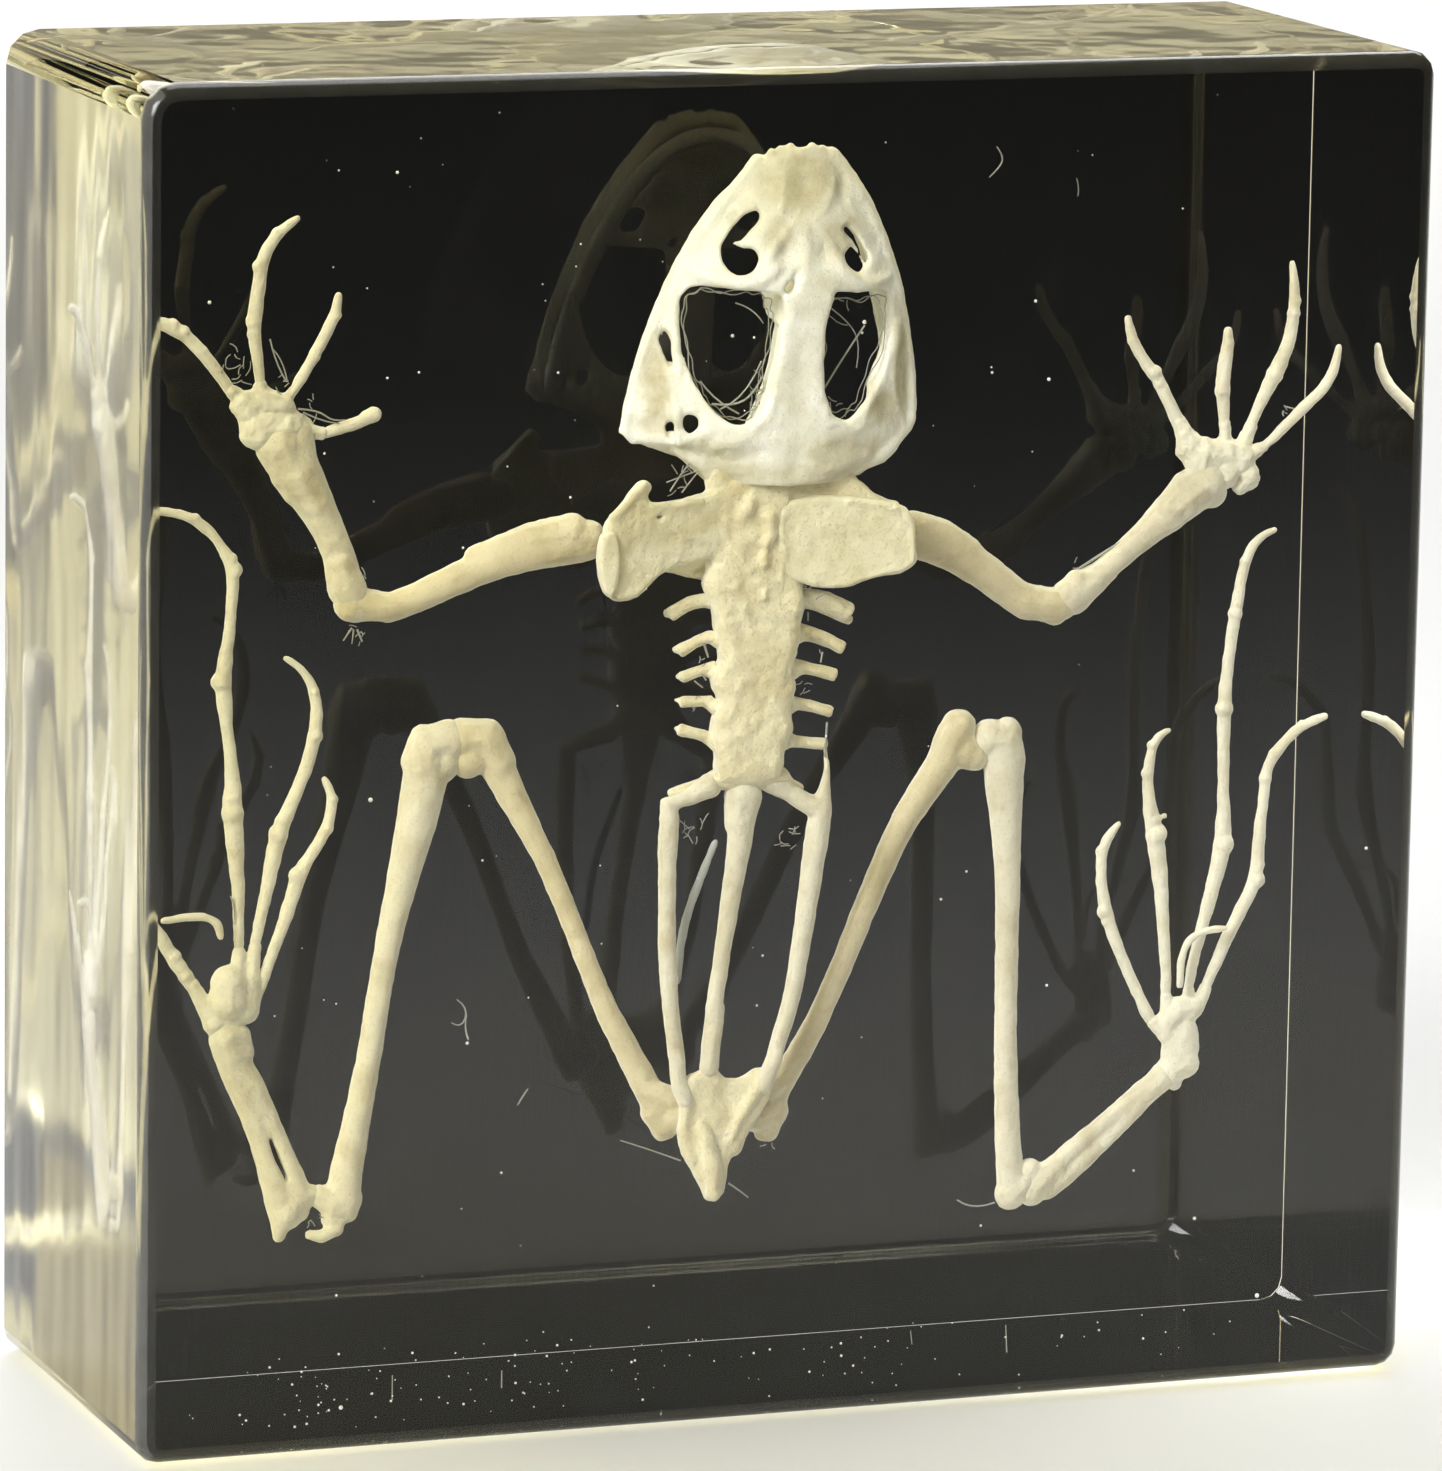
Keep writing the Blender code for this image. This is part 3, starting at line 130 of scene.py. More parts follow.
# Knobs, crests and dried cartilage grown onto the bones, as chains of (x, z, depth, radius) with
# the places read in the block, or of (x, z, radius) at the depth of the limbs
GROWTHS = {
    "humerus_left": [
        [(-20.3, 44.95, 0.85), (-21.5, 45.1, 0.95), (-22.4, 45.2, 1.05)],
        [(-15.4, 47.7, 16.1, 0.55), (-13.6, 48.1, 15.9, 0.8), (-12.2, 48.5, 15.7, 0.95),
         (-9.9, 48.8, 15.4, 1.1)],
    ],
    "radioulna_left": [
        [(-22.2, 45.1, 1), (-22.7, 46.2, 1.15), (-23.1, 47.6, 0.95)],
        [(-25.4, 52, 1.25), (-26.6, 54.2, 1.4)], [(-25.5, 53.4, 1.1), (-25.5, 54.7, 0.95)],
        [(-24.6, 50.9, 1.1), (-25.6, 52.6, 1.35)],
    ],
    "carpals_left": [
        [(-28.5, 56.4, 0.9), (-27.4, 56.6, 0.85), (-26.4, 56.3, 0.75)],
        [(-27.8, 55.1, 1.15), (-26.2, 55.2, 1.05)], [(-28.6, 56.6, 0.5), (-29.3, 57.3, 0.4)],
        [(-27.7, 56.7, 0.5), (-27.75, 57.6, 0.38)], [(-26.6, 56.4, 0.45), (-25.8, 57.2, 0.36)],
        [(-25.4, 55, 0.6), (-24.2, 54.75, 0.4)],
    ],
    "finger_left_1": [[(-21.6, 55.55, 0.42), (-21.2, 55.7, 0.48)]],
    "humerus_right": [
        [(17.5, 43.7, 16.4, 1), (18.9, 43.35, 1.05), (19.9, 43.4, 1)],
        [(10.4, 48.1, 15.3, 1.15), (12.3, 47.7, 15.6, 0.95), (13.8, 46.7, 15.8, 0.9)], [(19.4, 42.9, 0.8)],
    ],
    "radioulna_right": [
        [(20.2, 43.7, 1.1), (21.4, 44.4, 1), (22.5, 45.2, 0.8)], [(20.7, 44.6, 16.3, 0.75)],
        [(26.3, 48.3, 1.15), (27.5, 49.4, 1.4), (28.5, 50, 1.35)], [(28.9, 49.4, 0.95)],
    ],
    "carpals_right": [
        [(28.2, 51.4, 1.15), (29.5, 51.6, 1), (30.6, 51.3, 0.9)],
        [(31.2, 50.2, 16.4, 0.75), (30.7, 49.7, 0.55)], [(29.6, 50.5, 1)],
        [(27.5, 52, 0.85), (26.8, 53.4, 0.5)], [(29.6, 52.2, 0.5), (29.6, 53.3, 0.36)],
        [(30.7, 52, 0.5), (31.2, 53.1, 0.38)], [(31, 51.4, 16.4, 0.5), (32, 51.95, 16.3, 0.32)],
    ],
    "femur_left": [
        [(-13.8, 35.9, 1.1), (-14.7, 37.3, 1.25), (-15.9, 37.3, 1.25)], [(-15.5, 36.2, 1.15)],
        [(-4.6, 15.6, 15, 0.85), (-4.2, 14.7, 14.9, 0.8), (-3.3, 15.3, 14.6, 0.95)],
        [(-4.9, 16.9, 14.8, 0.7), (-3.7, 16.4, 14.4, 0.7)],
    ],
    "tibiofibula_left": [
        [(-18.1, 36.2, 1.35), (-17.9, 37.1, 1.35), (-16.7, 37.2, 1.3)], [(-17, 36.1, 1.15)],
        [(-22.5, 11.6, 1.05), (-23.3, 11.4, 0.95), (-24, 11.8, 0.7)],
        [(-22.4, 10.9, 0.75), (-23.3, 10.5, 0.6)],
        [(-24.6, 9.7, 16.2, 0.32), (-23.9, 9.55, 16.2, 0.42), (-23, 9.9, 16.3, 0.45)],
    ],
    "femur_right": [
        [(12.6, 34.2, 1), (13.5, 36.1, 1.2), (13.7, 36.5, 1.1)], [(14, 35.2, 1.1), (14.7, 34.9, 0.95)],
        [(2.5, 15.2, 14.9, 0.95), (1.7, 14.9, 14.7, 0.95), (0.7, 15.2, 14.4, 0.9)],
        [(3, 16.9, 14.9, 0.7), (2.2, 16.6, 14.4, 0.65)],
    ],
    "tibiofibula_right": [
        [(15.6, 35.8, 1.15), (16.5, 35.7, 1.25), (16.7, 34.6, 1.15)], [(16.7, 36.1, 0.9)],
        [(17.5, 9.2, 1), (18.2, 9.7, 0.9)],
    ],
    "ankle_bones_left": [
        [(-26, 11, 0.95), (-25.2, 11.9, 0.8), (-24.5, 11.9, 0.65)],
        [(-26.2, 10.9, 0.75), (-26.35, 9.7, 0.42)], [(-25.7, 10.6, 0.6), (-25, 11, 0.5)],
        [(-29.2, 20.3, 1), (-29.4, 21.1, 1.1)], [(-28.6, 20.3, 0.8), (-28.8, 21.2, 0.8)],
    ],
    "ankle_bones_right": [
        [(18.8, 9.3, 0.95), (19.4, 9.9, 0.95), (20.3, 10.6, 0.75)], [(18.6, 10.4, 0.8)],
        [(25.7, 14.6, 0.8), (26.8, 15.5, 0.85)],
    ],
    "foot_base_left": [
        [(-29.4, 23.3, 16.2, 1.1), (-29.4, 24.3, 16.2, 1.05)], [(-28.4, 22.7, 0.85), (-28.1, 24.4, 0.65)],
        [(-30.1, 22.1, 0.75), (-30.7, 23.2, 0.5)], [(-28.1, 24.3, 0.55), (-27.8, 26.2, 0.36)],
        [(-28.7, 24.6, 0.55), (-28.75, 26, 0.38)], [(-28.1, 22.6, 0.5), (-27.7, 23.6, 0.4)],
        [(-31.4, 24.3, 0.42), (-30.6, 22.8, 0.5), (-29.9, 21.4, 0.55)],
    ],
    "foot_base_right": [
        [(27, 18.7, 0.75), (27.6, 19.4, 0.8), (28.5, 19.4, 0.75)], [(27.2, 15.8, 0.9), (28.2, 16.2, 0.85)],
        [(27.5, 15.1, 0.5)], [(26.9, 18, 0.6), (26.1, 18.7, 0.42)], [(27, 19.2, 0.5), (26.85, 20.2, 0.36)],
        [(28.3, 19.4, 0.5), (28.25, 20.5, 0.36)], [(28.8, 19.4, 0.5), (29.3, 20.5, 0.4)],
    ],
    "ilium_left": [
        [(-4.35, 32.6, 13.4, 0.62), (-4.4, 33.4, 13.4, 0.58), (-3.2, 33.7, 13.5, 0.5),
         (-1.9, 34.3, 13.6, 0.75)], [(-3.6, 17.6, 13.3, 0.45), (-3.1, 16.4, 13.4, 0.55)],
    ],
    "ilium_right": [
        [(1.7, 34.5, 13.6, 0.8), (2.8, 33.7, 13.5, 0.55), (4.3, 32.8, 13.4, 0.65)],
        [(2.2, 18.6, 13.2, 0.5), (1.5, 17, 13.3, 0.6)],
        [(5, 33.4, 13.4, 0.3), (5, 35.2, 13.5, 0.16), (4.95, 36.3, 13.7, 0.14)],
    ],
    "urostyle": [
        [(0.1, 33.6, 13.6, 1.15), (-0.1, 32.2, 13.5, 0.95)],
        [(-1.35, 21.5, 13.4, 0.55), (-1.6, 19.6, 13.4, 0.6), (-1.75, 18.2, 13.4, 0.6)],
    ],
}

# Openings cut through the skull from the front, each an outline of (x, z)
SKULL_OPENINGS = [
    [(-3, 62.5), (-3.9, 61.9), (-4, 60.4), (-3.8, 58.3), (-3, 56.6), (-2.3, 55.6), (-1.1, 54.8),
     (0.1, 55), (0.7, 56), (1.1, 58.1), (1.4, 60.8), (1.1, 61.7), (0.4, 62.2), (-1.3, 62.2)],
    [(4.7, 61.8), (6.4, 61.6), (7.6, 61.9), (8.2, 61.1), (8.1, 59.3), (7.4, 57.5), (6.7, 55.8),
     (6, 55), (5.1, 54.7), (4.4, 55.5), (4.2, 58), (4.3, 60.1), (4.5, 61.3)],
    [(0.4, 66.5), (-0.1, 66.45), (-0.4, 65.9), (-1, 65.4), (-1.45, 64.7), (-1.6, 63.9), (-1.35, 63.3),
     (-0.6, 63.1), (0, 63.3), (0.3, 63.9), (-0.3, 64.2), (-1.15, 64.3), (-1.1, 64.7), (-0.7, 65.2),
     (-0.2, 65.65), (0.3, 65.95)],
    [(5.35, 65.6), (5.65, 65.6), (6.4, 64.7), (6.9, 63.6), (6.65, 63.5), (6.1, 64.4), (5.5, 65)],
    [(5.3, 64), (5.6, 64.2), (6.2, 64), (6.5, 63.3), (6.4, 62.9), (5.9, 63.2), (5.5, 63.5)],
    [(-5.2, 60.1), (-4.65, 59.9), (-4.25, 58.3), (-4.5, 57.8), (-4.95, 58.9)],
    [(-3.9, 55.4), (-3.2, 55.3), (-3.1, 54.7), (-3.6, 54.3), (-3.9, 54.8)],
    [(-4.8, 55), (-4.3, 54.9), (-4.25, 54.05), (-4.75, 54.1)],
    [(9.4, 57.5), (9.8, 57.4), (10.05, 55.3), (9.75, 55), (9.5, 56)],
    [(2.2, 63.2), (2.7, 63.4), (2.7, 62.6), (1.9, 62), (1.6, 62.4), (2.15, 62.8)],
]
# The skull's ridges, bars and knobs, each a chain of (x, z, radius, height above the surface)
SKULL_RIDGES = [
    # white bars over the orbits, running on into the cheeks
    [(-3.3, 63.4, 0.5, 0.2), (-2.2, 62.95, 0.5, 0.3),
     (-0.9, 62.65, 0.4, 0.35), (0.3, 62.8, 0.5, 0.3), (1.2, 63.4, 0.5, 0.2)],
    [(4.7, 63.9, 0.4, 0.15), (5.3, 63, 0.45, 0.3), (6.3, 62.35, 0.4, 0.35), (7.2, 62.3, 0.4, 0.3),
     (8.1, 62.6, 0.4, 0.15)],
    # the sides and keel of the nose plates
    [(2.8, 66.1, 0.4, 0.06), (1.9, 65.3, 0.5, 0.14), (1, 64.2, 0.55, 0.18), (0.4, 63.3, 0.5, 0.16)],
    [(3.1, 66.1, 0.4, 0.06), (4, 65.3, 0.5, 0.14), (4.6, 64.2, 0.5, 0.18), (5, 63.4, 0.5, 0.16)],
    [(2.9, 65.9, 0.5, 0.12), (3, 64.5, 0.55, 0.14), (2.9, 63.1, 0.6, 0.1), (2.8, 62, 0.6, 0.02)],
    # edges of the roof along the orbits
    [(1.3, 62, 0.4, 0.06), (1.8, 60.3, 0.4, 0.05), (1.6, 58.2, 0.4, 0.05), (1.3, 56.7, 0.5, 0.06),
     (0.9, 55.3, 0.6, 0.1), (-0.4, 54.1, 0.6, 0.12), (-2, 53.8, 0.6, 0.1)],
    [(4.3, 61.9, 0.4, 0.06), (3.8, 60.2, 0.4, 0.05), (3.7, 58.1, 0.4, 0.05), (3.8, 56.3, 0.45, 0.06),
     (4.3, 54.9, 0.45, 0.12), (5.6, 54.2, 0.5, 0.12), (7.2, 54.8, 0.45, 0.1)],
    # the rims of the upper jaw
    [(0.6, 69.2, 0.5, 0.1), (-1.2, 67, 0.55, 0.15), (-2.6, 65.2, 0.55, 0.15),
     (-3.7, 63.3, 0.5, 0.12), (-4.9, 61, 0.42, 0.1), (-5.6, 59.2, 0.4, 0.1), (-6.3, 57.2, 0.4, 0.12)],
    [(5, 69.4, 0.5, 0.1), (6.3, 67.5, 0.5, 0.15), (7.4, 65.5, 0.5, 0.15), (8.2, 63.6, 0.45, 0.12),
     (8.9, 61.6, 0.4, 0.1), (9.4, 59.6, 0.38, 0.1), (9.75, 57.6, 0.35, 0.1), (9.9, 55.6, 0.35, 0.12),
     (9.9, 54.4, 0.35, 0.12)],
    # cheek bars beside the orbits
    [(-3.6, 64, 0.4, 0.1), (-4.2, 62.4, 0.35, 0.12), (-4.35, 60.6, 0.3, 0.15),
     (-4.3, 58.6, 0.3, 0.15), (-4, 57, 0.32, 0.15), (-3.2, 55.9, 0.35, 0.12)],
    [(-4.45, 58, 0.3, 0.25), (-4.5, 56.7, 0.3, 0.3), (-4.3, 55.3, 0.28, 0.3), (-4.15, 53.8, 0.3, 0.25)],
    [(-5.4, 60, 0.35, 0.12), (-6, 58.2, 0.35, 0.14), (-6.5, 56.4, 0.35, 0.16), (-6.85, 55, 0.35, 0.2)],
    [(8.5, 61.7, 0.32, 0.12), (8.4, 60.3, 0.3, 0.14), (8.2, 58.8, 0.3, 0.14), (7.6, 57.3, 0.3, 0.14),
     (7.1, 55.9, 0.3, 0.14), (6.5, 54.8, 0.35, 0.12)],
    [(9, 60.2, 0.3, 0.14), (8.7, 58.8, 0.32, 0.18), (8.6, 57.3, 0.3, 0.14), (8.8, 55.6, 0.3, 0.12),
     (9.3, 54, 0.35, 0.15)],
    # the snout's short ridges and the worn row of teeth at its edge
    [(2, 68.6, 0.3, 0.04), (1.8, 67.6, 0.35, 0.12), (1.7, 66.6, 0.3, 0.1)],
    [(4.8, 68, 0.25, 0.06), (4.5, 67.2, 0.3, 0.12), (4.2, 66.5, 0.25, 0.08)],
    # the lumpy back of the skull
    [(-2.6, 53, 0.6, 0.1), (-1.4, 52.6, 0.6, 0.15), (-0.6, 52.3, 0.6, 0.1)],
    [(4, 52.1, 0.6, 0.1), (5.4, 52.4, 0.6, 0.15), (6.8, 52.8, 0.6, 0.1)],
]
# Hollows pressed into the skull, as (x, z, reach across, reach up, depth)
SKULL_HOLLOWS = [
    (-5.2, 57, 0.55, 2.2, 0.45), (-5.5, 54.9, 0.7, 0.6, 0.3), (-3.9, 58.2, 0.2, 1.5, 0.15),
    (9.25, 57, 0.35, 2.4, 0.35), (8, 55.6, 0.6, 0.7, 0.3), (1.8, 64.2, 0.5, 0.9, 0.25),
    (4, 64.2, 0.45, 0.9, 0.22), (0.9, 68, 0.45, 0.9, 0.25), (3.1, 67.9, 0.7, 1.1, 0.25),
    (5.4, 67.6, 0.35, 0.9, 0.22), (-1.6, 65.6, 0.5, 0.8, 0.15), (2.7, 57.5, 0.7, 3, 0.15),
    (-2.9, 53.6, 0.7, 0.4, 0.25), (0.2, 53.2, 0.9, 0.4, 0.2), (5.2, 53.3, 0.9, 0.4, 0.2),
    (2.5, 52.6, 0.5, 0.7, 0.2),
]
# Darker, browner patches on the skull, partly stains where its bone is thin and partly painted shade in
# the pressed hollows, as (x, z, reach across, reach up, share)
SKULL_STAINS_AND_SHADE = [
    (3, 68.2, 2.4, 1.7, 0.85), (1.4, 65.2, 0.9, 1, 0.7), (4.8, 65.1, 0.9, 1, 0.75),
    (3, 65.2, 0.5, 1.4, 0.35), (-5.4, 57, 0.7, 2.3, 1), (-5.3, 54.9, 1, 0.7, 0.8),
    (9.1, 57.4, 0.55, 2.6, 1), (8, 55.4, 1.1, 0.9, 0.9), (-2.6, 53.1, 2, 0.8, 0.6),
    (5, 53, 2.3, 0.9, 0.75), (-1.2, 65.9, 0.5, 0.9, 0.3), (-1.2, 52, 2.4, 0.7, 0.75),
    (3.6, 51.9, 3, 0.7, 0.75), (5.9, 65.6, 0.5, 0.7, 0.6), (-0.2, 66.9, 0.6, 0.5, 0.4),
]
# Chains of (x, z, depth, radius) at the skull's edges: teeth, jaw corners, back knobs, nostrils
SKULL_EDGES = [
    [(1.3, 69.75, 14.3, 0.26)], [(1.85, 69.95, 14.3, 0.24)], [(2.45, 70.05, 14.3, 0.26)],
    [(3.7, 70.05, 14.3, 0.26)], [(4.3, 69.95, 14.3, 0.24)], [(4.9, 69.8, 14.3, 0.24)],
    [(-6.8, 55.4, 14.5, 0.4), (-7.2, 54.5, 14.6, 0.2), (-7.35, 54.3, 14.6, 0.1)],
    [(-7, 54.5, 14.5, 0.3), (-6.5, 53.9, 14.5, 0.3), (-5.6, 53.95, 14.4, 0.25), (-4.6, 53.9, 14.2, 0.3)],
    [(-4.4, 54, 13.9, 0.45), (-3.7, 53.2, 13.6, 0.5), (-2.8, 52.7, 13.3, 0.5),
     (-2.2, 52, 13.3, 0.5), (-1.6, 51.7, 13.4, 0.5)],
    [(9.9, 54.6, 14.4, 0.4), (9.4, 54, 14.2, 0.45), (8.6, 53.1, 13.9, 0.5), (7.9, 52.6, 13.6, 0.55),
     (7, 52.3, 13.4, 0.5), (6.1, 51.9, 13.3, 0.5), (5.4, 51.6, 13.4, 0.5)],
    [(-0.9, 52.2, 12.9, 0.55), (-0.2, 51.7, 13.1, 0.6)], [(0.9, 51.9, 13, 0.55)],
    [(3.1, 51.9, 13, 0.5), (4.3, 51.9, 13, 0.55)],
    [(-1.1, 64.85, 13.3, 0.14), (-0.5, 64.75, 13.1, 0.24), (0.3, 64.9, 13, 0.36)],
    [(5.3, 65.2, 13, 0.2), (5.9, 64.6, 13, 0.17), (6.35, 64, 13.1, 0.14), (6.7, 63.3, 13.2, 0.15)],
]


# Outlines of the left shoulder blade, its slit and glossy rim, the slit between the left
# ankle's two bones, and the right blade's plate
BLADE_LEFT = [
    (-8.5, 49.8), (-7.6, 50.8), (-6.6, 51.85), (-6.1, 51.85), (-5.9, 51.45), (-6.2, 51), (-5.8, 50.6),
    (-4.5, 50.6), (-3.2, 50.7), (-1.7, 50.9), (-0.9, 49.5), (-1.4, 47.8), (-3.3, 47.1), (-4.9, 47),
    (-5.8, 46.4), (-6.6, 45.5), (-7.4, 45.15), (-8.1, 45.25), (-8.6, 45.8), (-8.8, 47.6), (-8.8, 49.1),
]
BLADE_SLIT = [(-6.05, 49.65), (-5.8, 49.85), (-5.3, 49.95), (-4.85, 50.1), (-5.1, 49.8), (-5.7, 49.6)]
ANKLE_SLIT = [
    (-27.35, 16.55), (-26.87, 15.45), (-26.38, 14.3), (-25.87, 13.05), (-25.95, 12.7),
    (-26.3, 13.35), (-26.66, 14.2), (-27.02, 15.15),
]
BLADE_RIM = [
    (-8.45, 49.2), (-8.1, 48.9), (-7.9, 47.7), (-8, 46.4), (-8.3, 45.55), (-8.65, 45.6),
    (-9, 46.6), (-9.1, 47.8), (-8.9, 48.9),
]
PLATE_RIGHT = [
    (1.3, 49.1), (2.2, 50.3), (4.4, 50.6), (6.6, 50.4), (8.6, 50), (9.3, 49.5), (9.6, 48.7), (9.7, 47.3),
    (9.75, 46.75), (9, 46.15), (7.5, 45.9), (6, 45.45), (4.9, 45.3), (3.7, 45.5), (2.3, 46), (1.6, 47),
]
BLADE_RIDGES = [
    [(-8.3, 49.9, 0.25, 0.15), (-7.4, 50.7, 0.25, 0.15), (-6.4, 51.7, 0.25, 0.15)],
    [(-5.9, 50.4, 0.25, 0.12), (-4.4, 50.4, 0.25, 0.15), (-3, 50.5, 0.3, 0.1)],
    [(-5.2, 49.4, 0.25, 0.08), (-3.8, 48.6, 0.3, 0.12), (-2.6, 48.2, 0.3, 0.1)],
    [(-8, 45.6, 0.3, 0.1), (-6.9, 45.6, 0.3, 0.12), (-5.6, 46.7, 0.3, 0.12), (-4.4, 47.3, 0.3, 0.1)],
]
PLATE_RIDGES = [
    [(9.1, 49.4, 0.16, 0.1), (9.4, 48.7, 0.16, 0.12), (9.5, 47.3, 0.16, 0.14), (9.5, 46.8, 0.16, 0.12),
     (8.9, 46.4, 0.16, 0.12), (7.5, 46.1, 0.15, 0.1), (6, 45.7, 0.15, 0.1)],
    [(8.4, 49.8, 0.2, 0.15), (7.3, 50.1, 0.2, 0.12), (5.6, 50.3, 0.2, 0.1)],
    [(2, 49.9, 0.25, 0.1), (1.9, 48.4, 0.3, 0.12), (2.2, 47, 0.3, 0.1)],
]
# The dried tissue as plates of (outline, front, back, rounding): the sheath of the backbone,
# then the webs of the shoulders
TISSUE_PLATES = [
    ([(-1.1, 51), (-1.2, 49.6), (-1.5, 48.2), (-2.2, 47), (-2.5, 45.8), (-1.9, 44.2), (-1.7, 42.7),
      (-1.45, 41.6), (-1.9, 40.6), (-1.9, 39.9), (-1.5, 39.3), (-1.85, 38), (-1.9, 37.1), (-1.6, 36.2),
      (-1.6, 35.2), (-1.2, 34.4), (1.9, 34.4), (2.3, 35.2), (2.5, 36.4), (2.9, 37.2), (2.9, 37.9),
      (2.7, 38.7), (3.05, 39.8), (2.8, 40.7), (3.15, 42), (3.35, 43.5), (3.5, 45), (3.2, 46.2),
      (2.5, 47.4), (2.2, 48.8), (2.5, 50.4), (3, 51.6), (1.5, 51.8), (-0.6, 51.9)], 12.4, 14.8, 0.7),
    ([(4.6, 51.5), (6.4, 51.5), (7.6, 50.5), (9, 50), (8.7, 49.5), (6.4, 49.9), (4.6, 50.1)],
     12.7, 13.5, 0.3),
    ([(-5.6, 50.45), (-4.4, 50.5), (-2.6, 50.9), (-0.9, 51.3), (0.4, 49.5), (-0.4, 47), (-2.6, 47.3),
      (-4.4, 48.2), (-5.4, 49.2)], 12.5, 13.9, 0.3),
    ([(-2, 52.9), (0, 52.5), (3, 52.5), (5.5, 52.8), (6.1, 51.2), (3.6, 50.2), (1, 50.5),
      (-1, 50.4), (-2.5, 51)], 12.7, 14, 0.5),
]
# The joined sitting bones, and the ridges along them
HIP_PLATE = [
    (-3.4, 16), (-3.2, 17.3), (-2.7, 17.9), (-1.9, 18.1), (-1.3, 18.1), (-0.8, 17.6), (-0.2, 17.4),
    (0.5, 17.6), (1.2, 18), (2, 17.6), (1.8, 15.9), (0.6, 14), (0.3, 13.1), (-0.3, 12.8), (-0.6, 11.5),
    (-0.7, 10.9), (-1.4, 10.4), (-1.8, 10.6), (-2.1, 11.3), (-2.6, 12.2), (-3.2, 13.2), (-3.5, 14.3),
]
HIP_RIDGES = [
    [(-2.3, 15.3, 0.3, 0.1), (-1.9, 14, 0.5, 0.5), (-1.5, 12.4, 0.55, 0.65), (-1.4, 11, 0.5, 0.5)],
    [(1.6, 17.5, 0.4, 0.3), (0.9, 16.4, 0.4, 0.35), (0.1, 15.2, 0.35, 0.3), (-0.5, 14, 0.35, 0.2)],
    [(-3.1, 16.6, 0.35, 0.15), (-3.2, 14.4, 0.3, 0.15), (-2.6, 12.8, 0.3, 0.12)],
]
HIP_HOLLOWS = [(-0.6, 16.6, 0.9, 0.8, 0.3), (-2.4, 15.9, 0.4, 0.8, 0.15)]
# The side processes of the backbone, strips with blunt ends, as (x, z, radius)
SIDE_PROCESSES = {
    "vertebra_4": [
        [(-2, 44.9, 0.42), (-3.2, 44.7, 0.4), (-4.4, 44.1, 0.46)],
        [(3.2, 44.9, 0.45), (4.9, 44.6, 0.45), (6.4, 43.7, 0.56)],
    ],
    "vertebra_5": [
        [(-1.8, 42.8, 0.38), (-2.8, 42.5, 0.36), (-3.8, 41.9, 0.4)],
        [(3.1, 43, 0.4), (4.6, 42.5, 0.38), (6, 41.7, 0.42)],
    ],
    "vertebra_6": [[(-1.6, 41.1, 0.32), (-3.7, 40.5, 0.38)], [(2.9, 41, 0.34), (5.6, 40.2, 0.42)]],
    "vertebra_7": [[(-1.8, 39.1, 0.32), (-3.7, 39.1, 0.36)], [(2.9, 38.9, 0.34), (5.4, 38.1, 0.38)]],
    "vertebra_8": [[(-1.8, 37, 0.32), (-3.8, 37.6, 0.38)], [(2.8, 36.6, 0.38), (5.1, 36.3, 0.38)]],
}
TISSUE_RIDGES = [
    [(-0.2, 50, 0.5, 0.3), (0.1, 50.6, 0.4, 0.2)],
    [(1.15, 49.5, 0.35, 0.35), (1.2, 48.6, 0.38, 0.4), (1, 47.9, 0.28, 0.3)],
    [(0.9, 47.3, 0.25, 0.3), (0.9, 46.8, 0.25, 0.25)], [(0.9, 45.3, 0.22, 0.25), (0.9, 44.9, 0.22, 0.25)],
    [(-2.2, 49.8, 0.4, 0.1), (-1, 48, 0.4, 0.12), (0.1, 46.4, 0.4, 0.1)],
    [(3, 49.8, 0.35, 0.1), (2.2, 47.9, 0.35, 0.12), (1.9, 46, 0.35, 0.1)],
    [(-1.6, 45, 0.35, 0.1), (-1.2, 44.2, 0.35, 0.1)],
]
# Nodes that get a shape of their own instead of the common rounding
REMADE = ("skull", "scapula_left", "suprascapula_left", "suprascapula_right", "ischium")
# Nodes of many small bones grown together, with a gnarled surface
GNARLED = ("carpals_left", "carpals_right")
# Long bones that have yellowed more than the others
YELLOWED = ("femur_left", "femur_right", "humerus_left", "humerus_right")
# Openings cut right through a bone
THROUGH_CUTS = {"lower_jaw": SKULL_OPENINGS[5:9], "ankle_bones_left": [ANKLE_SLIT]}
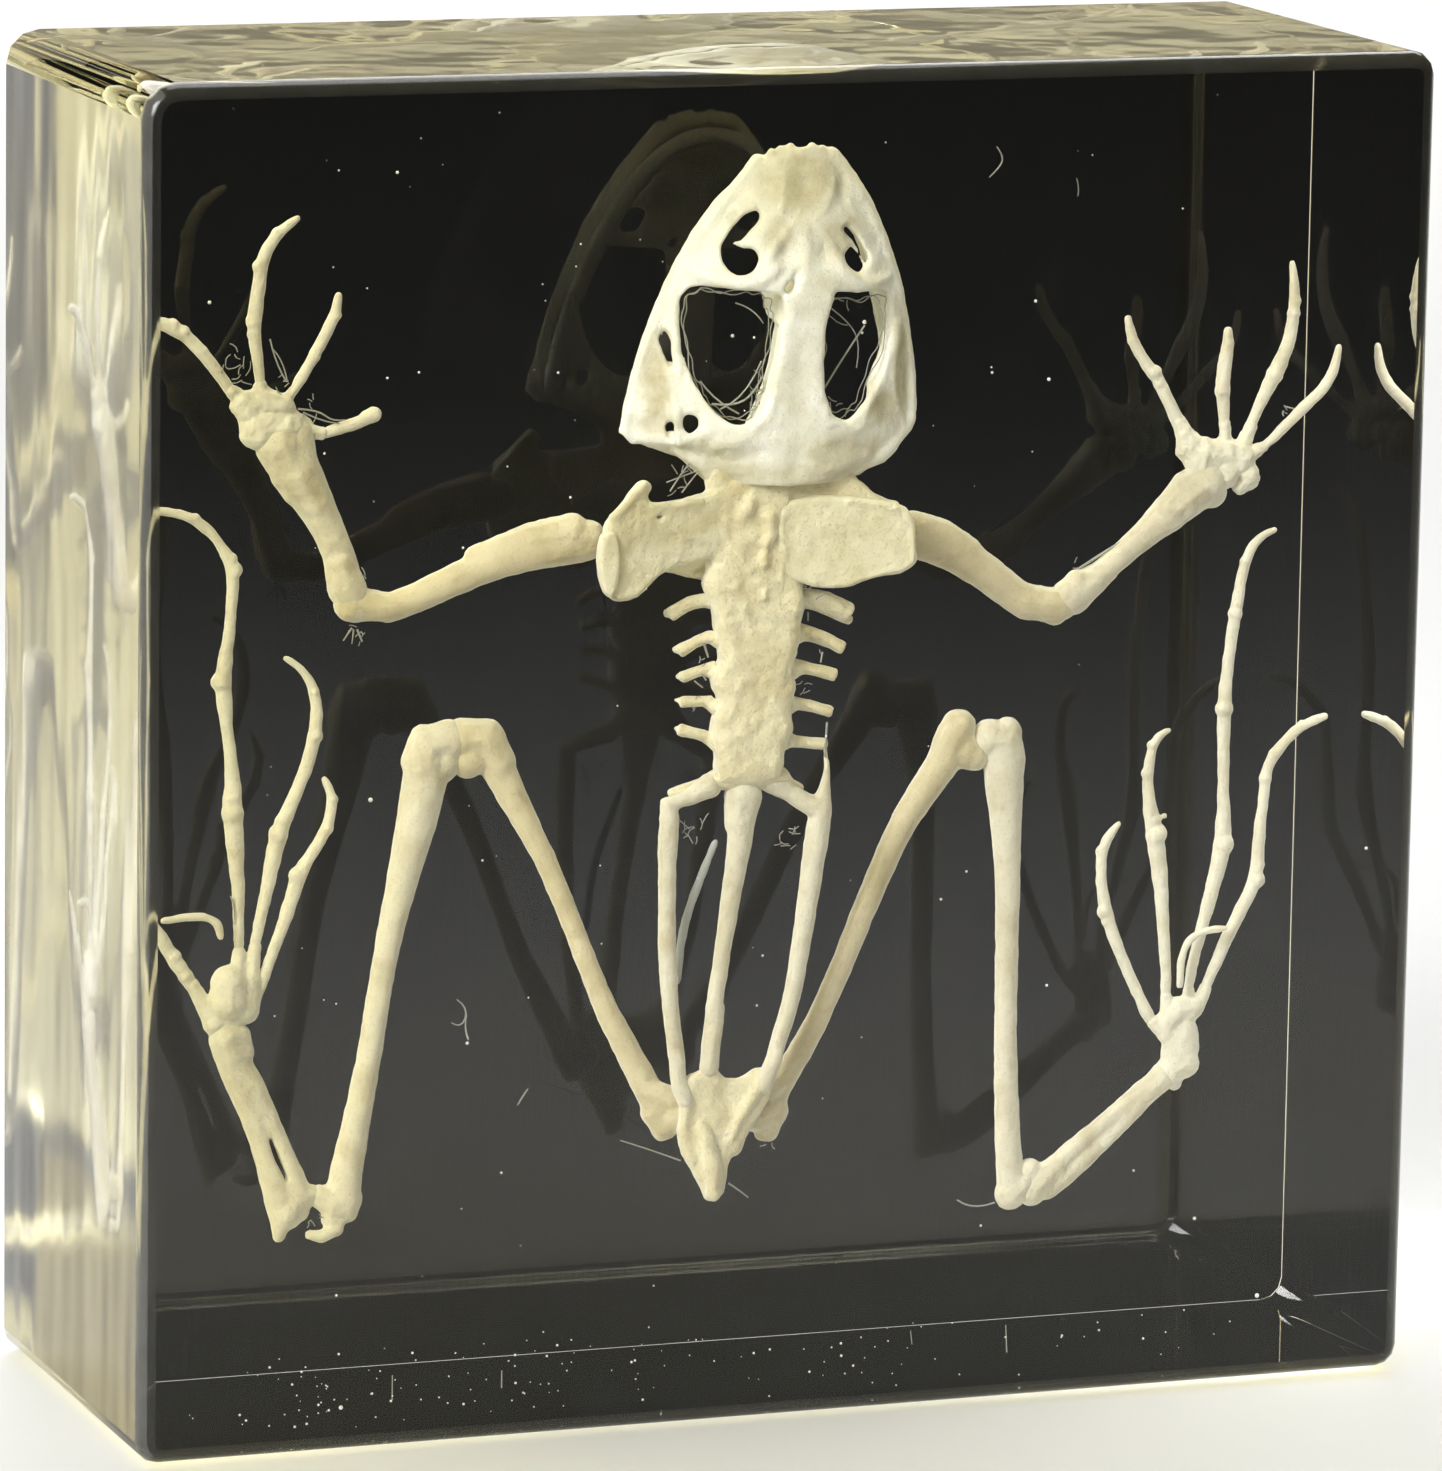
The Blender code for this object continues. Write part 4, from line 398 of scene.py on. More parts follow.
# The thickened joints of the digits, as (x, z, radius)
DIGIT_JOINTS = {
    "finger_left_1": [(-21.4, 55.6, 0.46), (-21.1, 55.7, 0.4)],
    "finger_left_2": [(-24.6, 59.1, 0.42), (-24.3, 59.6, 0.38), (-23.4, 61.3, 0.36)],
    "finger_left_3": [(-28.1, 61.1, 0.52), (-28.1, 60.4, 0.42), (-27.8, 64.1, 0.44), (-27.8, 63.5, 0.38),
                      (-26.8, 65.9, 0.36)],
    "finger_left_4": [(-31, 59.5, 0.38), (-32.1, 60.6, 0.48), (-32.7, 61, 0.44)],
    "finger_right_1": [(26.8, 53.4, 0.48), (25.2, 56.4, 0.5), (25.5, 55.8, 0.42), (23.8, 58.3, 0.38)],
    "finger_right_2": [(29.4, 55.2, 0.54), (29.5, 56, 0.48), (29.7, 57.9, 0.42)],
    "finger_right_3": [(32.6, 56, 0.6), (33, 56.7, 0.48), (33.7, 59.5, 0.46), (33.8, 60.2, 0.38)],
    "toe_left_2": [(-25.4, 30.1, 0.56), (-25, 30.7, 0.44), (-23.7, 32.7, 0.44), (-23.4, 34.3, 0.38)],
    "toe_left_3": [(-26.5, 32.5, 0.64), (-26.3, 33.2, 0.5), (-24.4, 37.9, 0.5), (-24.6, 37.3, 0.42),
                   (-24.5, 40.4, 0.36)],
    "toe_left_4": [(-29.15, 33.8, 0.74), (-29.15, 34.7, 0.58), (-29.85, 41.2, 0.64), (-29.7, 40.5, 0.46),
                   (-29.1, 47.4, 0.48), (-29.3, 48, 0.4), (-31.4, 50.35, 0.34)],
    "toe_left_5": [(-31.8, 24.8, 0.5), (-32.5, 25.9, 0.5)],
    "toe_right_2": [(22.9, 25.4, 0.5), (23.1, 24.8, 0.42), (22.65, 28.9, 0.42)],
    "toe_right_3": [(26, 29.7, 0.72), (25.8, 30.5, 0.54), (25.35, 33.3, 0.42), (25.6, 34.9, 0.36),
                    (26.5, 30.75, 0.2)],
    "toe_right_4": [(30.2, 28.9, 0.72), (30.15, 29.8, 0.54), (30, 36.8, 0.6), (30.05, 37.6, 0.44),
                    (30.55, 42.3, 0.5), (30.5, 41.6, 0.4), (31.1, 45.3, 0.38)],
    "toe_right_5": [(32.35, 26.7, 0.56), (32.4, 27.6, 0.44), (32.7, 32.6, 0.44), (33.2, 34, 0.42),
                    (34.9, 35.6, 0.36)],
}


# Threads of dried tissue, each with its depth and then its (x, z, radius), some with an own depth
FIBRES = [
    (13.4, (6.8, 60, 13.3, 0.06), (5.6, 58.3, 0.05), (4.4, 56.4, 0.06)),
    (13.3, (4.8, 61, 0.04), (5.9, 60.2, 0.04), (6.6, 58.9, 13.4, 0.04), (6.4, 57.6, 13.5, 0.04)),
    (13.3, (-0.9, 61.5, 0.04), (0.2, 61.2, 0.04), (0.8, 60.3, 13.4, 0.04)),
    (13.2, (-2.2, 55.9, 13.3, 0.06), (-0.9, 55.7, 0.06), (0.3, 56.4, 0.06), (0.8, 57.4, 13.3, 0.05)),
    (13.2, (-1.7, 55.6, 0.05), (-0.2, 56.1, 0.05), (0.7, 58.2, 13.3, 0.05)),
    (13.3, (-2.9, 57.2, 0.05), (-2, 56, 0.05), (-0.6, 55.3, 13.2, 0.05)),
    (16.3, (-27.2, 60.1, 0.05), (-26.9, 58.8, 0.04), (-26.3, 57.8, 0.05)),
    (16.3, (-27, 59.5, 0.04), (-26.4, 58.9, 0.04), (-26.2, 57.7, 0.04)),
    (16.2, (-25.6, 56.2, 0.06), (-24.4, 56.1, 0.05), (-23.6, 55.4, 0.05), (-22.9, 55.5, 0.04)),
    (16.2, (-25.3, 56, 0.05), (-24.1, 55.4, 0.04), (-23.2, 55.3, 0.04)),
    (16.2, (-22.4, 43.9, 0.06), (-22.9, 43.2, 0.04)), (16.2, (-22.1, 43.8, 0.06), (-21.8, 43.1, 0.05)),
    (16.2, (-22.3, 43.8, 0.05), (-22.4, 43, 0.03)), (16.3, (33.2, 54.2, 0.05), (34.6, 53.8, 0.04)),
    (16.4, (20.6, 45.2, 0.08), (21.8, 45.9, 0.1), (23.4, 46.8, 0.06)),
    (13.2, (-4.6, 51.1, 0.05), (-4.1, 51.9, 0.05), (-3.5, 52.6, 0.05)),
    (13.3, (-4.8, 51.6, 0.04), (-3.6, 52, 0.04), (-2.6, 52.3, 0.05)),
    (13.2, (-3.9, 51, 0.05), (-3.3, 51.8, 0.04), (-2.7, 52.4, 0.05)),
    (13.6, (-2.4, 42.5, 0.08), (-2.1, 41.6, 0.06)), (13.6, (-2.6, 40.9, 0.05), (-2.2, 40.3, 0.05)),
    (13.6, (-2.9, 40.3, 0.05), (-2.4, 39.9, 0.04)), (13.6, (4.7, 41.6, 0.06), (4.6, 41, 0.05)),
    (13.6, (3.8, 43.9, 0.06), (3.8, 43.4, 0.05)), (13.4, (5, 37.6, 0.07), (4.9, 35.6, 0.06)),
    (13.6, (-0.4, 11.4, 0.06), (0.2, 11, 0.05), (0.8, 10.5, 0.04)),
    (13.6, (-6.9, 14.3, 0.03), (-5.2, 13.7, 0.04), (-3.3, 12.9, 0.05)),
    (16, (14.1, 9.1, 0.05), (15, 8.4, 0.04), (16.4, 8.8, 0.05)),
    (6, (12.6, 70.4, 0.03), (13, 69.9, 0.05), (12.9, 69.3, 0.05), (12.2, 68.7, 0.03)),
    (6, (17.4, 68.5, 0.03), (17.6, 68, 0.04), (17.5, 67.5, 0.03)),
    (6, (-18.3, 24.1, 0.03), (-17.6, 23.6, 0.05), (-18, 22.4, 0.05), (-18.6, 22.8, 0.03)),
    (6, (-17.7, 23.2, 0.03), (-17.9, 22.5, 0.04), (-17.6, 21.8, 0.06)),
    (6, (-14.7, 17.9, 0.03), (-14.4, 18.4, 0.06), (-14.1, 18.8, 0.03)),
    (8, (15.2, 2.9, 0.03), (15.3, 1.3, 0.04)), (8, (9.4, 3, 0.03), (9.5, 2.2, 0.03)),
    (8, (-15, 2.5, 0.03), (-15, 1.5, 0.04)), (8, (-21.4, 2.7, 0.03), (-21.4, 1.3, 0.03)),
    (16.2, (-29.3, 29.2, 0.05), (-29, 28.6, 0.05), (-29.1, 27.6, 0.04)),
]
# Tangles of short threads, as (x, z, depth, reach, count)
TANGLES = [
    (0.1, 56.3, 13.4, 0.9, 9), (5.2, 55.4, 13.4, 0.7, 7), (5.2, 60.9, 13.4, 0.7, 4),
    (-29, 58.6, 16.3, 0.9, 12), (-26.3, 57.6, 16.3, 0.5, 5), (-24.6, 56.3, 16.3, 0.6, 5),
    (-22.3, 43.5, 16.3, 0.5, 6), (-21.7, 46.8, 16.2, 0.5, 5), (20.4, 45.2, 16.3, 0.5, 5),
    (-3.7, 51.7, 13.4, 0.7, 7), (-2.6, 41.4, 13.6, 0.5, 5), (-2.9, 39, 13.6, 0.4, 4),
    (4.4, 42.2, 13.6, 0.5, 4), (3.6, 39.4, 13.6, 0.5, 4), (-3, 31.5, 13.6, 0.8, 10),
    (2.9, 31.2, 13.6, 0.8, 9), (33.1, 54, 16.3, 0.4, 4), (-24.3, 10.6, 16.3, 0.5, 5),
    (2, 13.7, 14.6, 0.5, 5), (3.5, 45.3, 12.9, 0.7, 5),
]
# The larger specks caught in the resin, as (x, z, radius), or with a depth of their own
SPECKS = [
    (-22.6, 70.1, 0.09), (-25.9, 70.3, 0.06), (-33.1, 63.4, 0.1), (-12.1, 65.9, 0.06), (-13.3, 58.9, 0.07),
    (14.6, 61.9, 0.09), (12.1, 58, 0.08), (12.05, 58.3, 0.06), (15.5, 57.5, 0.1), (23.3, 66.8, 0.06),
    (-23.8, 35.8, 0.13), (9.7, 28.4, 0.08), (11.2, 29.9, 0.07), (16.2, 23.1, 0.08), (25.6, 9, 0.1),
    (-18.1, 21.9, 0.09), (-25.2, 1.8, 0.12), (-25.9, 1.7, 0.07), (29.6, 4.2, 0.13), (35.6, 29.9, 0.1),
    (-1.1, 59.7, 13, 0.1), (6.7, 60.2, 13, 0.12), (6.6, 59.6, 13.1, 0.08), (15.2, 2.2, 8, 0.06),
]


# Modelling helpers

def put(name, data):
    """A new object with this data, in the scene."""
    piece = bpy.data.objects.new(name, data)
    bpy.context.scene.collection.objects.link(piece)
    return piece


def switch(mode):
    bpy.ops.object.mode_set(mode=mode)


def pick_only(*objects):
    """Deselects everything, then selects these objects and makes the first active."""
    bpy.ops.object.select_all(action="DESELECT")
    for obj in objects:
        obj.select_set(True)
    if objects:
        bpy.context.view_layer.objects.active = objects[0]


def join(parts):
    """These objects as one, which is the first."""
    pick_only(*parts)
    bpy.ops.object.join()
    return bpy.context.object


def coat(piece, *materials):
    """Gives the piece these materials and no others."""
    piece.data.materials.clear()
    for material in materials:
        piece.data.materials.append(material)


def finish_modifier(piece, kind, **settings):
    """Adds a modifier with these settings and applies it."""
    pick_only(piece)
    modifier = piece.modifiers.new(kind.lower(), kind)
    for key, value in settings.items():
        setattr(modifier, key, value)
    bpy.ops.object.modifier_apply(modifier=modifier.name)


def fuse(piece, voxel, relax=0):
    """Fuses what overlaps in the piece by a fine remesh, then relaxes its surface."""
    finish_modifier(piece, "REMESH", mode="VOXEL", voxel_size=voxel * MM)
    if relax:
        finish_modifier(piece, "SMOOTH", factor=0.5, iterations=relax)


def cloud_texture(name, size_mm, depth):
    texture = bpy.data.textures.new(name, "CLOUDS")
    texture.noise_scale = size_mm * MM
    texture.noise_depth = depth
    return texture


UNEVEN_BONE = cloud_texture("uneven_bone", 0.9, 2)
UNEVEN_TISSUE = cloud_texture("uneven_tissue", 0.7, 3)


def roughen(piece, texture, height_mm):
    """Makes the surface slightly uneven."""
    finish_modifier(
        piece, "DISPLACE", texture=texture, texture_coords="LOCAL", strength=height_mm * MM,
        mid_level=0.5,
    )


def copy_of_bone(node):
    """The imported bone's mesh in a new object, its doubles merged and its quads restored."""
    piece = put("bone_" + node, frame["nodes"][node].data.copy())
    piece.data.materials.clear()
    pick_only(piece)
    switch("EDIT")
    bpy.ops.mesh.select_all(action="SELECT")
    bpy.ops.mesh.remove_doubles(threshold=MERGE_MM * MM)
    bpy.ops.mesh.tris_convert_to_quads()
    switch("OBJECT")
    return piece


def make_ball():
    """The ball that every knob is a copy of, 1 mm in radius."""
    pick_only()
    bpy.ops.mesh.primitive_uv_sphere_add(segments=14, ring_count=8, radius=MM)
    return bpy.context.object


BALL = make_ball()


def knob(place, radius):
    """A ball of bone or cartilage, with a mesh of its own."""
    ball = put("knob", BALL.data.copy())
    ball.data.transform(Matrix.Translation(place) @ Matrix.Scale(radius, 4))
    return ball


def strand(stations, flowing=False):
    """A round tube along (x, z, depth, radius) stations, made from a curve."""
    path = bpy.data.curves.new("strand", "CURVE")
    path.dimensions = "3D"
    path.bevel_depth = MM
    path.bevel_resolution = 2
    path.use_fill_caps = True
    path.resolution_u = 3
    line = path.splines.new("NURBS" if flowing else "POLY")
    line.points.add(len(stations) - 1)
    line.order_u = min(3, len(stations))
    line.use_endpoint_u = True
    for point, (x, z, depth, radius) in zip(line.points, stations):
        point.co = (*spot(x, z, depth), 1.0)
        point.radius = radius
    pick_only(put("strand", path))
    bpy.ops.object.convert(target="MESH")
    return bpy.context.object


def in_depth(station, depth=LIMB_DEPTH):
    """A station of (x, z, radius) put at this depth; one that has its own depth stays."""
    return station if len(station) == 4 else (*station[:2], depth, station[2])


def grow_chains(piece, chains, depth=LIMB_DEPTH, rounded=True):
    """Joins these chains to the piece, to be fused with it by a remesh."""
    added = []
    for chain in chains:
        chain = [in_depth(station, depth) for station in chain]
        ends = chain if len(chain) < 3 else (chain[0], chain[-1])
        if rounded:
            added += [knob(spot(x, z, back), radius) for x, z, back, radius in ends]
        if len(chain) > 1:
            added.append(strand(chain))
    join([piece, *added])


def bevel_edges(piece, width_mm, chosen):
    """Bevels the edges whose two ends pass the chosen test."""
    pick_only(piece)
    switch("EDIT")
    bpy.ops.mesh.select_all(action="DESELECT")
    bpy.ops.mesh.select_mode(type="EDGE")
    switch("OBJECT")
    points = [vertex.co for vertex in piece.data.vertices]
    for edge in piece.data.edges:
        edge.select = chosen([points[index] for index in edge.vertices])
    switch("EDIT")
    bpy.ops.mesh.bevel(offset=width_mm * MM, segments=3, affect="EDGES")
    switch("OBJECT")


def rounded_box(name, low, high):
    """A box between two corners, rounded as CORNER_ROUNDING says in the front view."""
    pick_only()
    bpy.ops.mesh.primitive_cube_add(size=1.0, location=(low + high) / 2, scale=high - low)
    box = bpy.context.object
    box.name = name
    bpy.ops.object.transform_apply(location=True, rotation=True, scale=True)
    for width, left, top in CORNER_ROUNDING:
        bevel_edges(box, width, lambda edge: all(
            (point.x < BLOCK_MIDDLE.x) == left and (point.z > BLOCK_MIDDLE.z) == top for point in edge
        ))
    return box


# Shader helpers

class Value:
    """A shader socket that can be used in sums; each sum adds its Math node."""

    def __init__(self, finish, socket):
        self.finish = finish
        self.socket = socket

    def sum(self, operation, first, second):
        return self.finish.add("ShaderNodeMath", {"operation": operation}, {0: first, 1: second})

    def __add__(self, other):
        return self.sum("ADD", self, other)

    def __rsub__(self, other):
        return self.sum("SUBTRACT", other, self)

    def __mul__(self, other):
        return self.sum("MULTIPLY", self, other)

    __radd__ = __add__
    __rmul__ = __mul__


class Finish:
    """A material whose nodes all come from one method."""

    def __init__(self, name):
        self.material = bpy.data.materials.new(name)
        self.material.use_nodes = True
        self.nodes = self.material.node_tree.nodes
        self.links = self.material.node_tree.links
        self.shader = self.nodes["Principled BSDF"]
        self.output = self.nodes["Material Output"]
        self.place = self.add("ShaderNodeTexCoord", {}, {}, "Object")

    def add(self, kind, settings, sockets, out=0):
        node = self.nodes.new(kind)
        for key, value in settings.items():
            setattr(node, key, value)
        self.fill(node, sockets)
        return Value(self, node.outputs[out])

    def fill(self, node, sockets):
        for key, value in sockets.items():
            if isinstance(value, Value):
                self.links.new(value.socket, node.inputs[key])
            else:
                node.inputs[key].default_value = value

    def noise(self, per_mm, detail=4.0, stretch=(1.0, 1.0, 1.0), distortion=0.0):
        where = self.add("ShaderNodeMapping", {}, {"Vector": self.place, "Scale": stretch})
        return self.add(
            "ShaderNodeTexNoise", {},
            {"Vector": where, "Scale": per_mm / MM, "Detail": detail, "Roughness": 0.55,
             "Distortion": distortion},
        )

    def ramp(self, factor, *stops):
        """Colours at (position, colour) stops."""
        colours = self.add("ShaderNodeValToRGB", {}, {0: factor})
        elements = colours.socket.node.color_ramp.elements
        while len(elements) < len(stops):
            elements.new(1.0)
        for element, (position, colour) in zip(elements, stops):
            element.position = position
            element.color = (*colour, 1.0)
        return colours

    def mask(self, factor, low, high, least=0.0):
        """A share that rises to 1 while the factor goes from low to high."""
        return self.ramp(factor, (low, (least,) * 3), (high, (1.0,) * 3))

    def blend(self, factor, first, second):
        """A colour from first at 0 to second at 1."""
        sockets = {0: factor}
        for key, value in ((6, first), (7, second)):
            sockets[key] = value if isinstance(value, Value) else (*value, 1.0)
        return self.add("ShaderNodeMix", {"data_type": "RGBA"}, sockets, 2)

    def bump(self, height, distance_mm):
        return self.add("ShaderNodeBump", {}, {"Height": height, "Distance": distance_mm * MM})


def bone_finish(name, pale, warm, dark, warm_share, bump_mm=0.16, stain_and_shade=None, painted_rim_highlight=PAINTED_RIM_HIGHLIGHT):
    """Dried bone: pale with warm clouds, dark flecks, grain, pores, a painted highlight on edges turned
    from view, and the mesh's own stains with painted shade.
    """
    finish = Finish(name)
    clouds = finish.noise(0.3, detail=6.0, distortion=0.6)
    colour = finish.blend(finish.mask(clouds, 0.55 - 0.25 * warm_share, 0.72), pale, warm)
    flecks = finish.mask(finish.noise(0.55, detail=6.0), 0.6, 0.78)
    colour = finish.blend(flecks * 0.5, colour, dark)
    grain = finish.noise(2.6, detail=3.0)
    pores = finish.mask(finish.noise(7.0, detail=2.0), 0.3, 0.42)
    colour = finish.blend((1 - pores) * 0.22, colour, dark)
    # Painted highlight: the colour goes pale where the surface turns away from the view
    edge = finish.add("ShaderNodeLayerWeight", {}, {"Blend": 0.5}, "Facing")
    colour = finish.blend(finish.mask(edge, 0.25, 0.78) * 0.8, colour, painted_rim_highlight)
    # The mesh's stains, with painted shade in the hollows, mottled
    if stain_and_shade:
        share = finish.add("ShaderNodeAttribute", {"attribute_name": "stain_and_shade"}, {}, "Fac")
        mottled = finish.mask(finish.noise(1.3, detail=6.0), 0.3, 0.7, least=0.6)
        colour = finish.blend(share * mottled, colour, stain_and_shade)
    lumps = finish.noise(1.1, detail=5.0)
    height = lumps * 0.7 + grain * 0.2 + pores * 0.1
    finish.fill(finish.shader, {
        "Base Color": colour,
        "Roughness": 0.4 + 0.18 * grain,
        "Normal": finish.bump(height, bump_mm),
        "Subsurface Weight": 0.12,
        "Subsurface Radius": (0.9 * MM, 0.6 * MM, 0.35 * MM),
        "Subsurface Scale": 1.0,
        "Specular IOR Level": 0.35,
    })
    return finish.material


def resin_finish(name, wave_mm, roughness, clearness):
    """Clear casting resin, faintly straw, in tall soft waves; scuffed where it is less clear."""
    finish = Finish(name)
    waves = finish.noise(0.12, detail=2.0, stretch=(1.0, 1.0, 0.2))
    colour = (1.0, 1.0, 1.0, 1.0)
    if clearness < 1.0:
        colour = finish.blend(finish.noise(0.9, detail=5.0), (1.0, 1.0, 0.96), (0.45, 0.45, 0.4))
    finish.fill(finish.shader, {
        "Base Color": colour,
        "Roughness": roughness,
        "IOR": 1.5,
        "Transmission Weight": clearness,
        "Normal": finish.bump(waves, wave_mm),
    })
    shadow = finish.add("ShaderNodeLightPath", {}, {}, "Is Shadow Ray")
    through = finish.add("ShaderNodeBsdfTransparent", {}, {"Color": (0.98, 0.98, 0.95, 1.0)})
    surface = Value(finish, finish.shader.outputs[0])
    mixed = finish.add("ShaderNodeMixShader", {}, {0: shadow, 1: surface, 2: through})
    tint = finish.add(
        "ShaderNodeVolumeAbsorption", {}, {"Color": (0.95, 0.925, 0.75, 1.0), "Density": 3.0}
    )
    finish.fill(finish.output, {"Surface": mixed, "Volume": tint})
    return finish.material


def card_finish():
    """Black card with a faint fibre grain."""
    finish = Finish("black_card_face")
    fibres = finish.noise(3.0, detail=4.0, stretch=(1.0, 1.0, 0.2))
    finish.fill(finish.shader, {
        "Base Color": finish.blend(fibres, (0.0015, 0.0015, 0.0015), (0.004, 0.004, 0.0036)),
        "Roughness": 0.8 + 0.1 * fibres,
        "Specular IOR Level": 0.0,
        "Normal": finish.bump(fibres, 0.02),
    })
    return finish.material


def small_parts_finish(name, pale, dark, cloud_per_mm, grain_per_mm, uneven_shine):
    finish = Finish(name)
    cloud = finish.noise(cloud_per_mm)
    finish.fill(finish.shader, {
        "Base Color": finish.blend(cloud, pale, dark),
        "Roughness": 0.5 + uneven_shine * cloud,
        "Normal": finish.bump(finish.noise(grain_per_mm), 0.02),
    })
    return finish.material


# Bones

def settle_bone(piece, finish, uneven, voxel=BONE_VOXEL, relax=3):
    """The last steps of every bone: fused, made uneven, smooth shaded and coated."""
    fuse(piece, voxel, relax)
    roughen(piece, UNEVEN_BONE, 2 * uneven)
    pick_only(piece)
    bpy.ops.object.shade_smooth()
    coat(piece, finish)
    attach(piece, "root")


def dress_bone(node, slot, finish, voxel=BONE_VOXEL, fatten=0.05, relax=3, uneven=0.06):
    """A bone in the common way: rounded, with its knobs and joints grown on and its slits cut."""
    piece = copy_of_bone(node)
    finish_modifier(piece, "SUBSURF", levels=2, render_levels=2)
    finish_modifier(piece, "DISPLACE", strength=fatten * MM, mid_level=0.0)
    if node in GROWTHS:
        grow_chains(piece, GROWTHS[node])
    if node in SIDE_PROCESSES:
        grow_chains(piece, SIDE_PROCESSES[node], SPINE_DEPTH, rounded=False)
    if node in DIGIT_JOINTS:
        grow_chains(piece, [[(x, z, JOINT_SHARE * radius)] for x, z, radius in DIGIT_JOINTS[node]])
    if node in THROUGH_CUTS:
        fuse(piece, voxel)
        for outline in THROUGH_CUTS[node]:
            cut_opening(piece, outline)
    settle_bone(piece, finish, GNARLED_MM if node in GNARLED else uneven, voxel, relax)
    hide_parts(node)


def away_from(vertex, x, z, across, up):
    """The squared distance from a place in the front view, in its reaches."""
    return ((vertex.co.x / MM - x) / across) ** 2 + ((vertex.co.z / MM - z) / up) ** 2


def press(piece, hollows):
    """Presses soft hollows (x, z, reach across, reach up, depth) into the piece from the front."""
    facings = [max(0.0, -vertex.normal.y) for vertex in piece.data.vertices]
    for vertex, facing in zip(piece.data.vertices, facings):
        for *place, depth in hollows:
            away = away_from(vertex, *place)
            if facing and away < HOLLOW_END:
                vertex.co.y += depth * MM * math.exp(-away) * facing
    piece.data.update()


def drop_crumbs(piece):
    """Deletes what the cuts have left loose from the part that reaches highest."""
    pick_only(piece)
    switch("EDIT")
    bpy.ops.mesh.select_mode(type="VERT")
    bpy.ops.mesh.select_all(action="DESELECT")
    switch("OBJECT")
    max(piece.data.vertices, key=lambda vertex: vertex.co.z).select = True
    switch("EDIT")
    bpy.ops.mesh.select_linked()
    bpy.ops.mesh.select_all(action="INVERT")
    bpy.ops.mesh.delete(type="VERT")
    switch("OBJECT")


def stain_and_shade_vertices(piece, stains_and_shade):
    """Keeps, for each vertex, how much the stains and painted shade around it colour it."""
    shares = piece.data.attributes.new("stain_and_shade", "FLOAT", "POINT")
    for vertex, kept in zip(piece.data.vertices, shares.data):
        kept.value = max(
            share * min(1.0, STAIN_AND_SHADE_FULLNESS * math.exp(-away_from(vertex, *place)))
            for *place, share in stains_and_shade
        )


def round_loop(points, steps):
    """More points on a smooth closed line through these."""
    loop = []
    count = len(points)
    for index in range(count):
        before, start, end, after = (
            Vector(points[(index + shift) % count]) for shift in (-1, 0, 1, 2)
        )
        for step in range(steps):
            part = step / steps
            loop.append(
                start + (end - before) * (part / 2)
                + (before * 2 - start * 5 + end * 4 - after) * (part ** 2 / 2)
                + (start * 3 - before - end * 3 + after) * (part ** 3 / 2)
            )
    return loop


def outline_plate(outline, front, back, rounding=0.0):
    """A plate of this (x, z) outline, between two depths, with its edges rounded over."""
    loop = round_loop(outline, 4)
    pick_only()
    bpy.ops.mesh.primitive_circle_add(vertices=len(loop), radius=MM, fill_type="NGON")
    plate = bpy.context.object
    for vertex, (x, z) in zip(plate.data.vertices, loop):
        vertex.co = spot(x, z, front)
    switch("EDIT")
    bpy.ops.mesh.select_all(action="SELECT")
    bpy.ops.mesh.extrude_region_move(
        TRANSFORM_OT_translate={"value": (0.0, (back - front) * MM, 0.0)}
    )
    bpy.ops.mesh.select_all(action="SELECT")
    bpy.ops.mesh.normals_make_consistent(inside=False)
    switch("OBJECT")
    if rounding:
        bevel_edges(plate, rounding, lambda edge: abs(edge[0].y - edge[1].y) < 0.01 * MM)
    return plate


def cut_opening(piece, outline):
    """Cuts an opening of this outline through the piece, from front to back."""
    cutter = outline_plate(outline, CUT_FRONT, CUT_BACK)
    finish_modifier(piece, "BOOLEAN", operation="DIFFERENCE", object=cutter, solver="EXACT")
    bpy.data.objects.remove(cutter)


def grow_on(piece, chains):
    """Adds chains of (x, z, radius, height) that follow the piece's surface seen from the front."""
    surface = BVHTree.FromPolygons(
        [vertex.co for vertex in piece.data.vertices],
        [face.vertices for face in piece.data.polygons],
    )
    grow_chains(piece, [lay_on(surface, chain) for chain in chains])


def lay_on(surface, chain, spacing=0.4, depth=14.4):
    """Stations of (x, z, depth, radius) along the surface; past its edge the depth stays."""
    stations = []
    for first, second in zip(chain, chain[1:]):
        length = math.hypot(second[0] - first[0], second[1] - first[1])
        steps = max(1, round(length / spacing))
        for step in range(steps + (second is chain[-1])):
            x, z, radius, proud = (
                low + (high - low) * step / steps for low, high in zip(first, second)
            )
            place = surface.ray_cast(spot(x, z, 1.0), Vector((0.0, 1.0, 0.0)))[0]
            if place:
                depth = (place.y - FRONT_Y) / MM
            stations.append((x, z, depth + radius - proud, radius))
    return stations


def dress_skull(finish):
    """The skull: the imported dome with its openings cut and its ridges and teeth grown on."""
    piece = copy_of_bone("skull")
    for outline in SKULL_OPENINGS:
        cut_opening(piece, outline)
    fuse(piece, SKULL_VOXEL, 10)
    grow_on(piece, SKULL_RIDGES)
    grow_chains(piece, SKULL_EDGES)
    fuse(piece, SKULL_VOXEL, 4)
    press(piece, SKULL_HOLLOWS)
    settle_bone(piece, finish, 0.05, SKULL_VOXEL, 4)
    drop_crumbs(piece)
    # Stains, and painted shade in the hollows pressed above
    stain_and_shade_vertices(piece, SKULL_STAINS_AND_SHADE)
    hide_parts("skull")


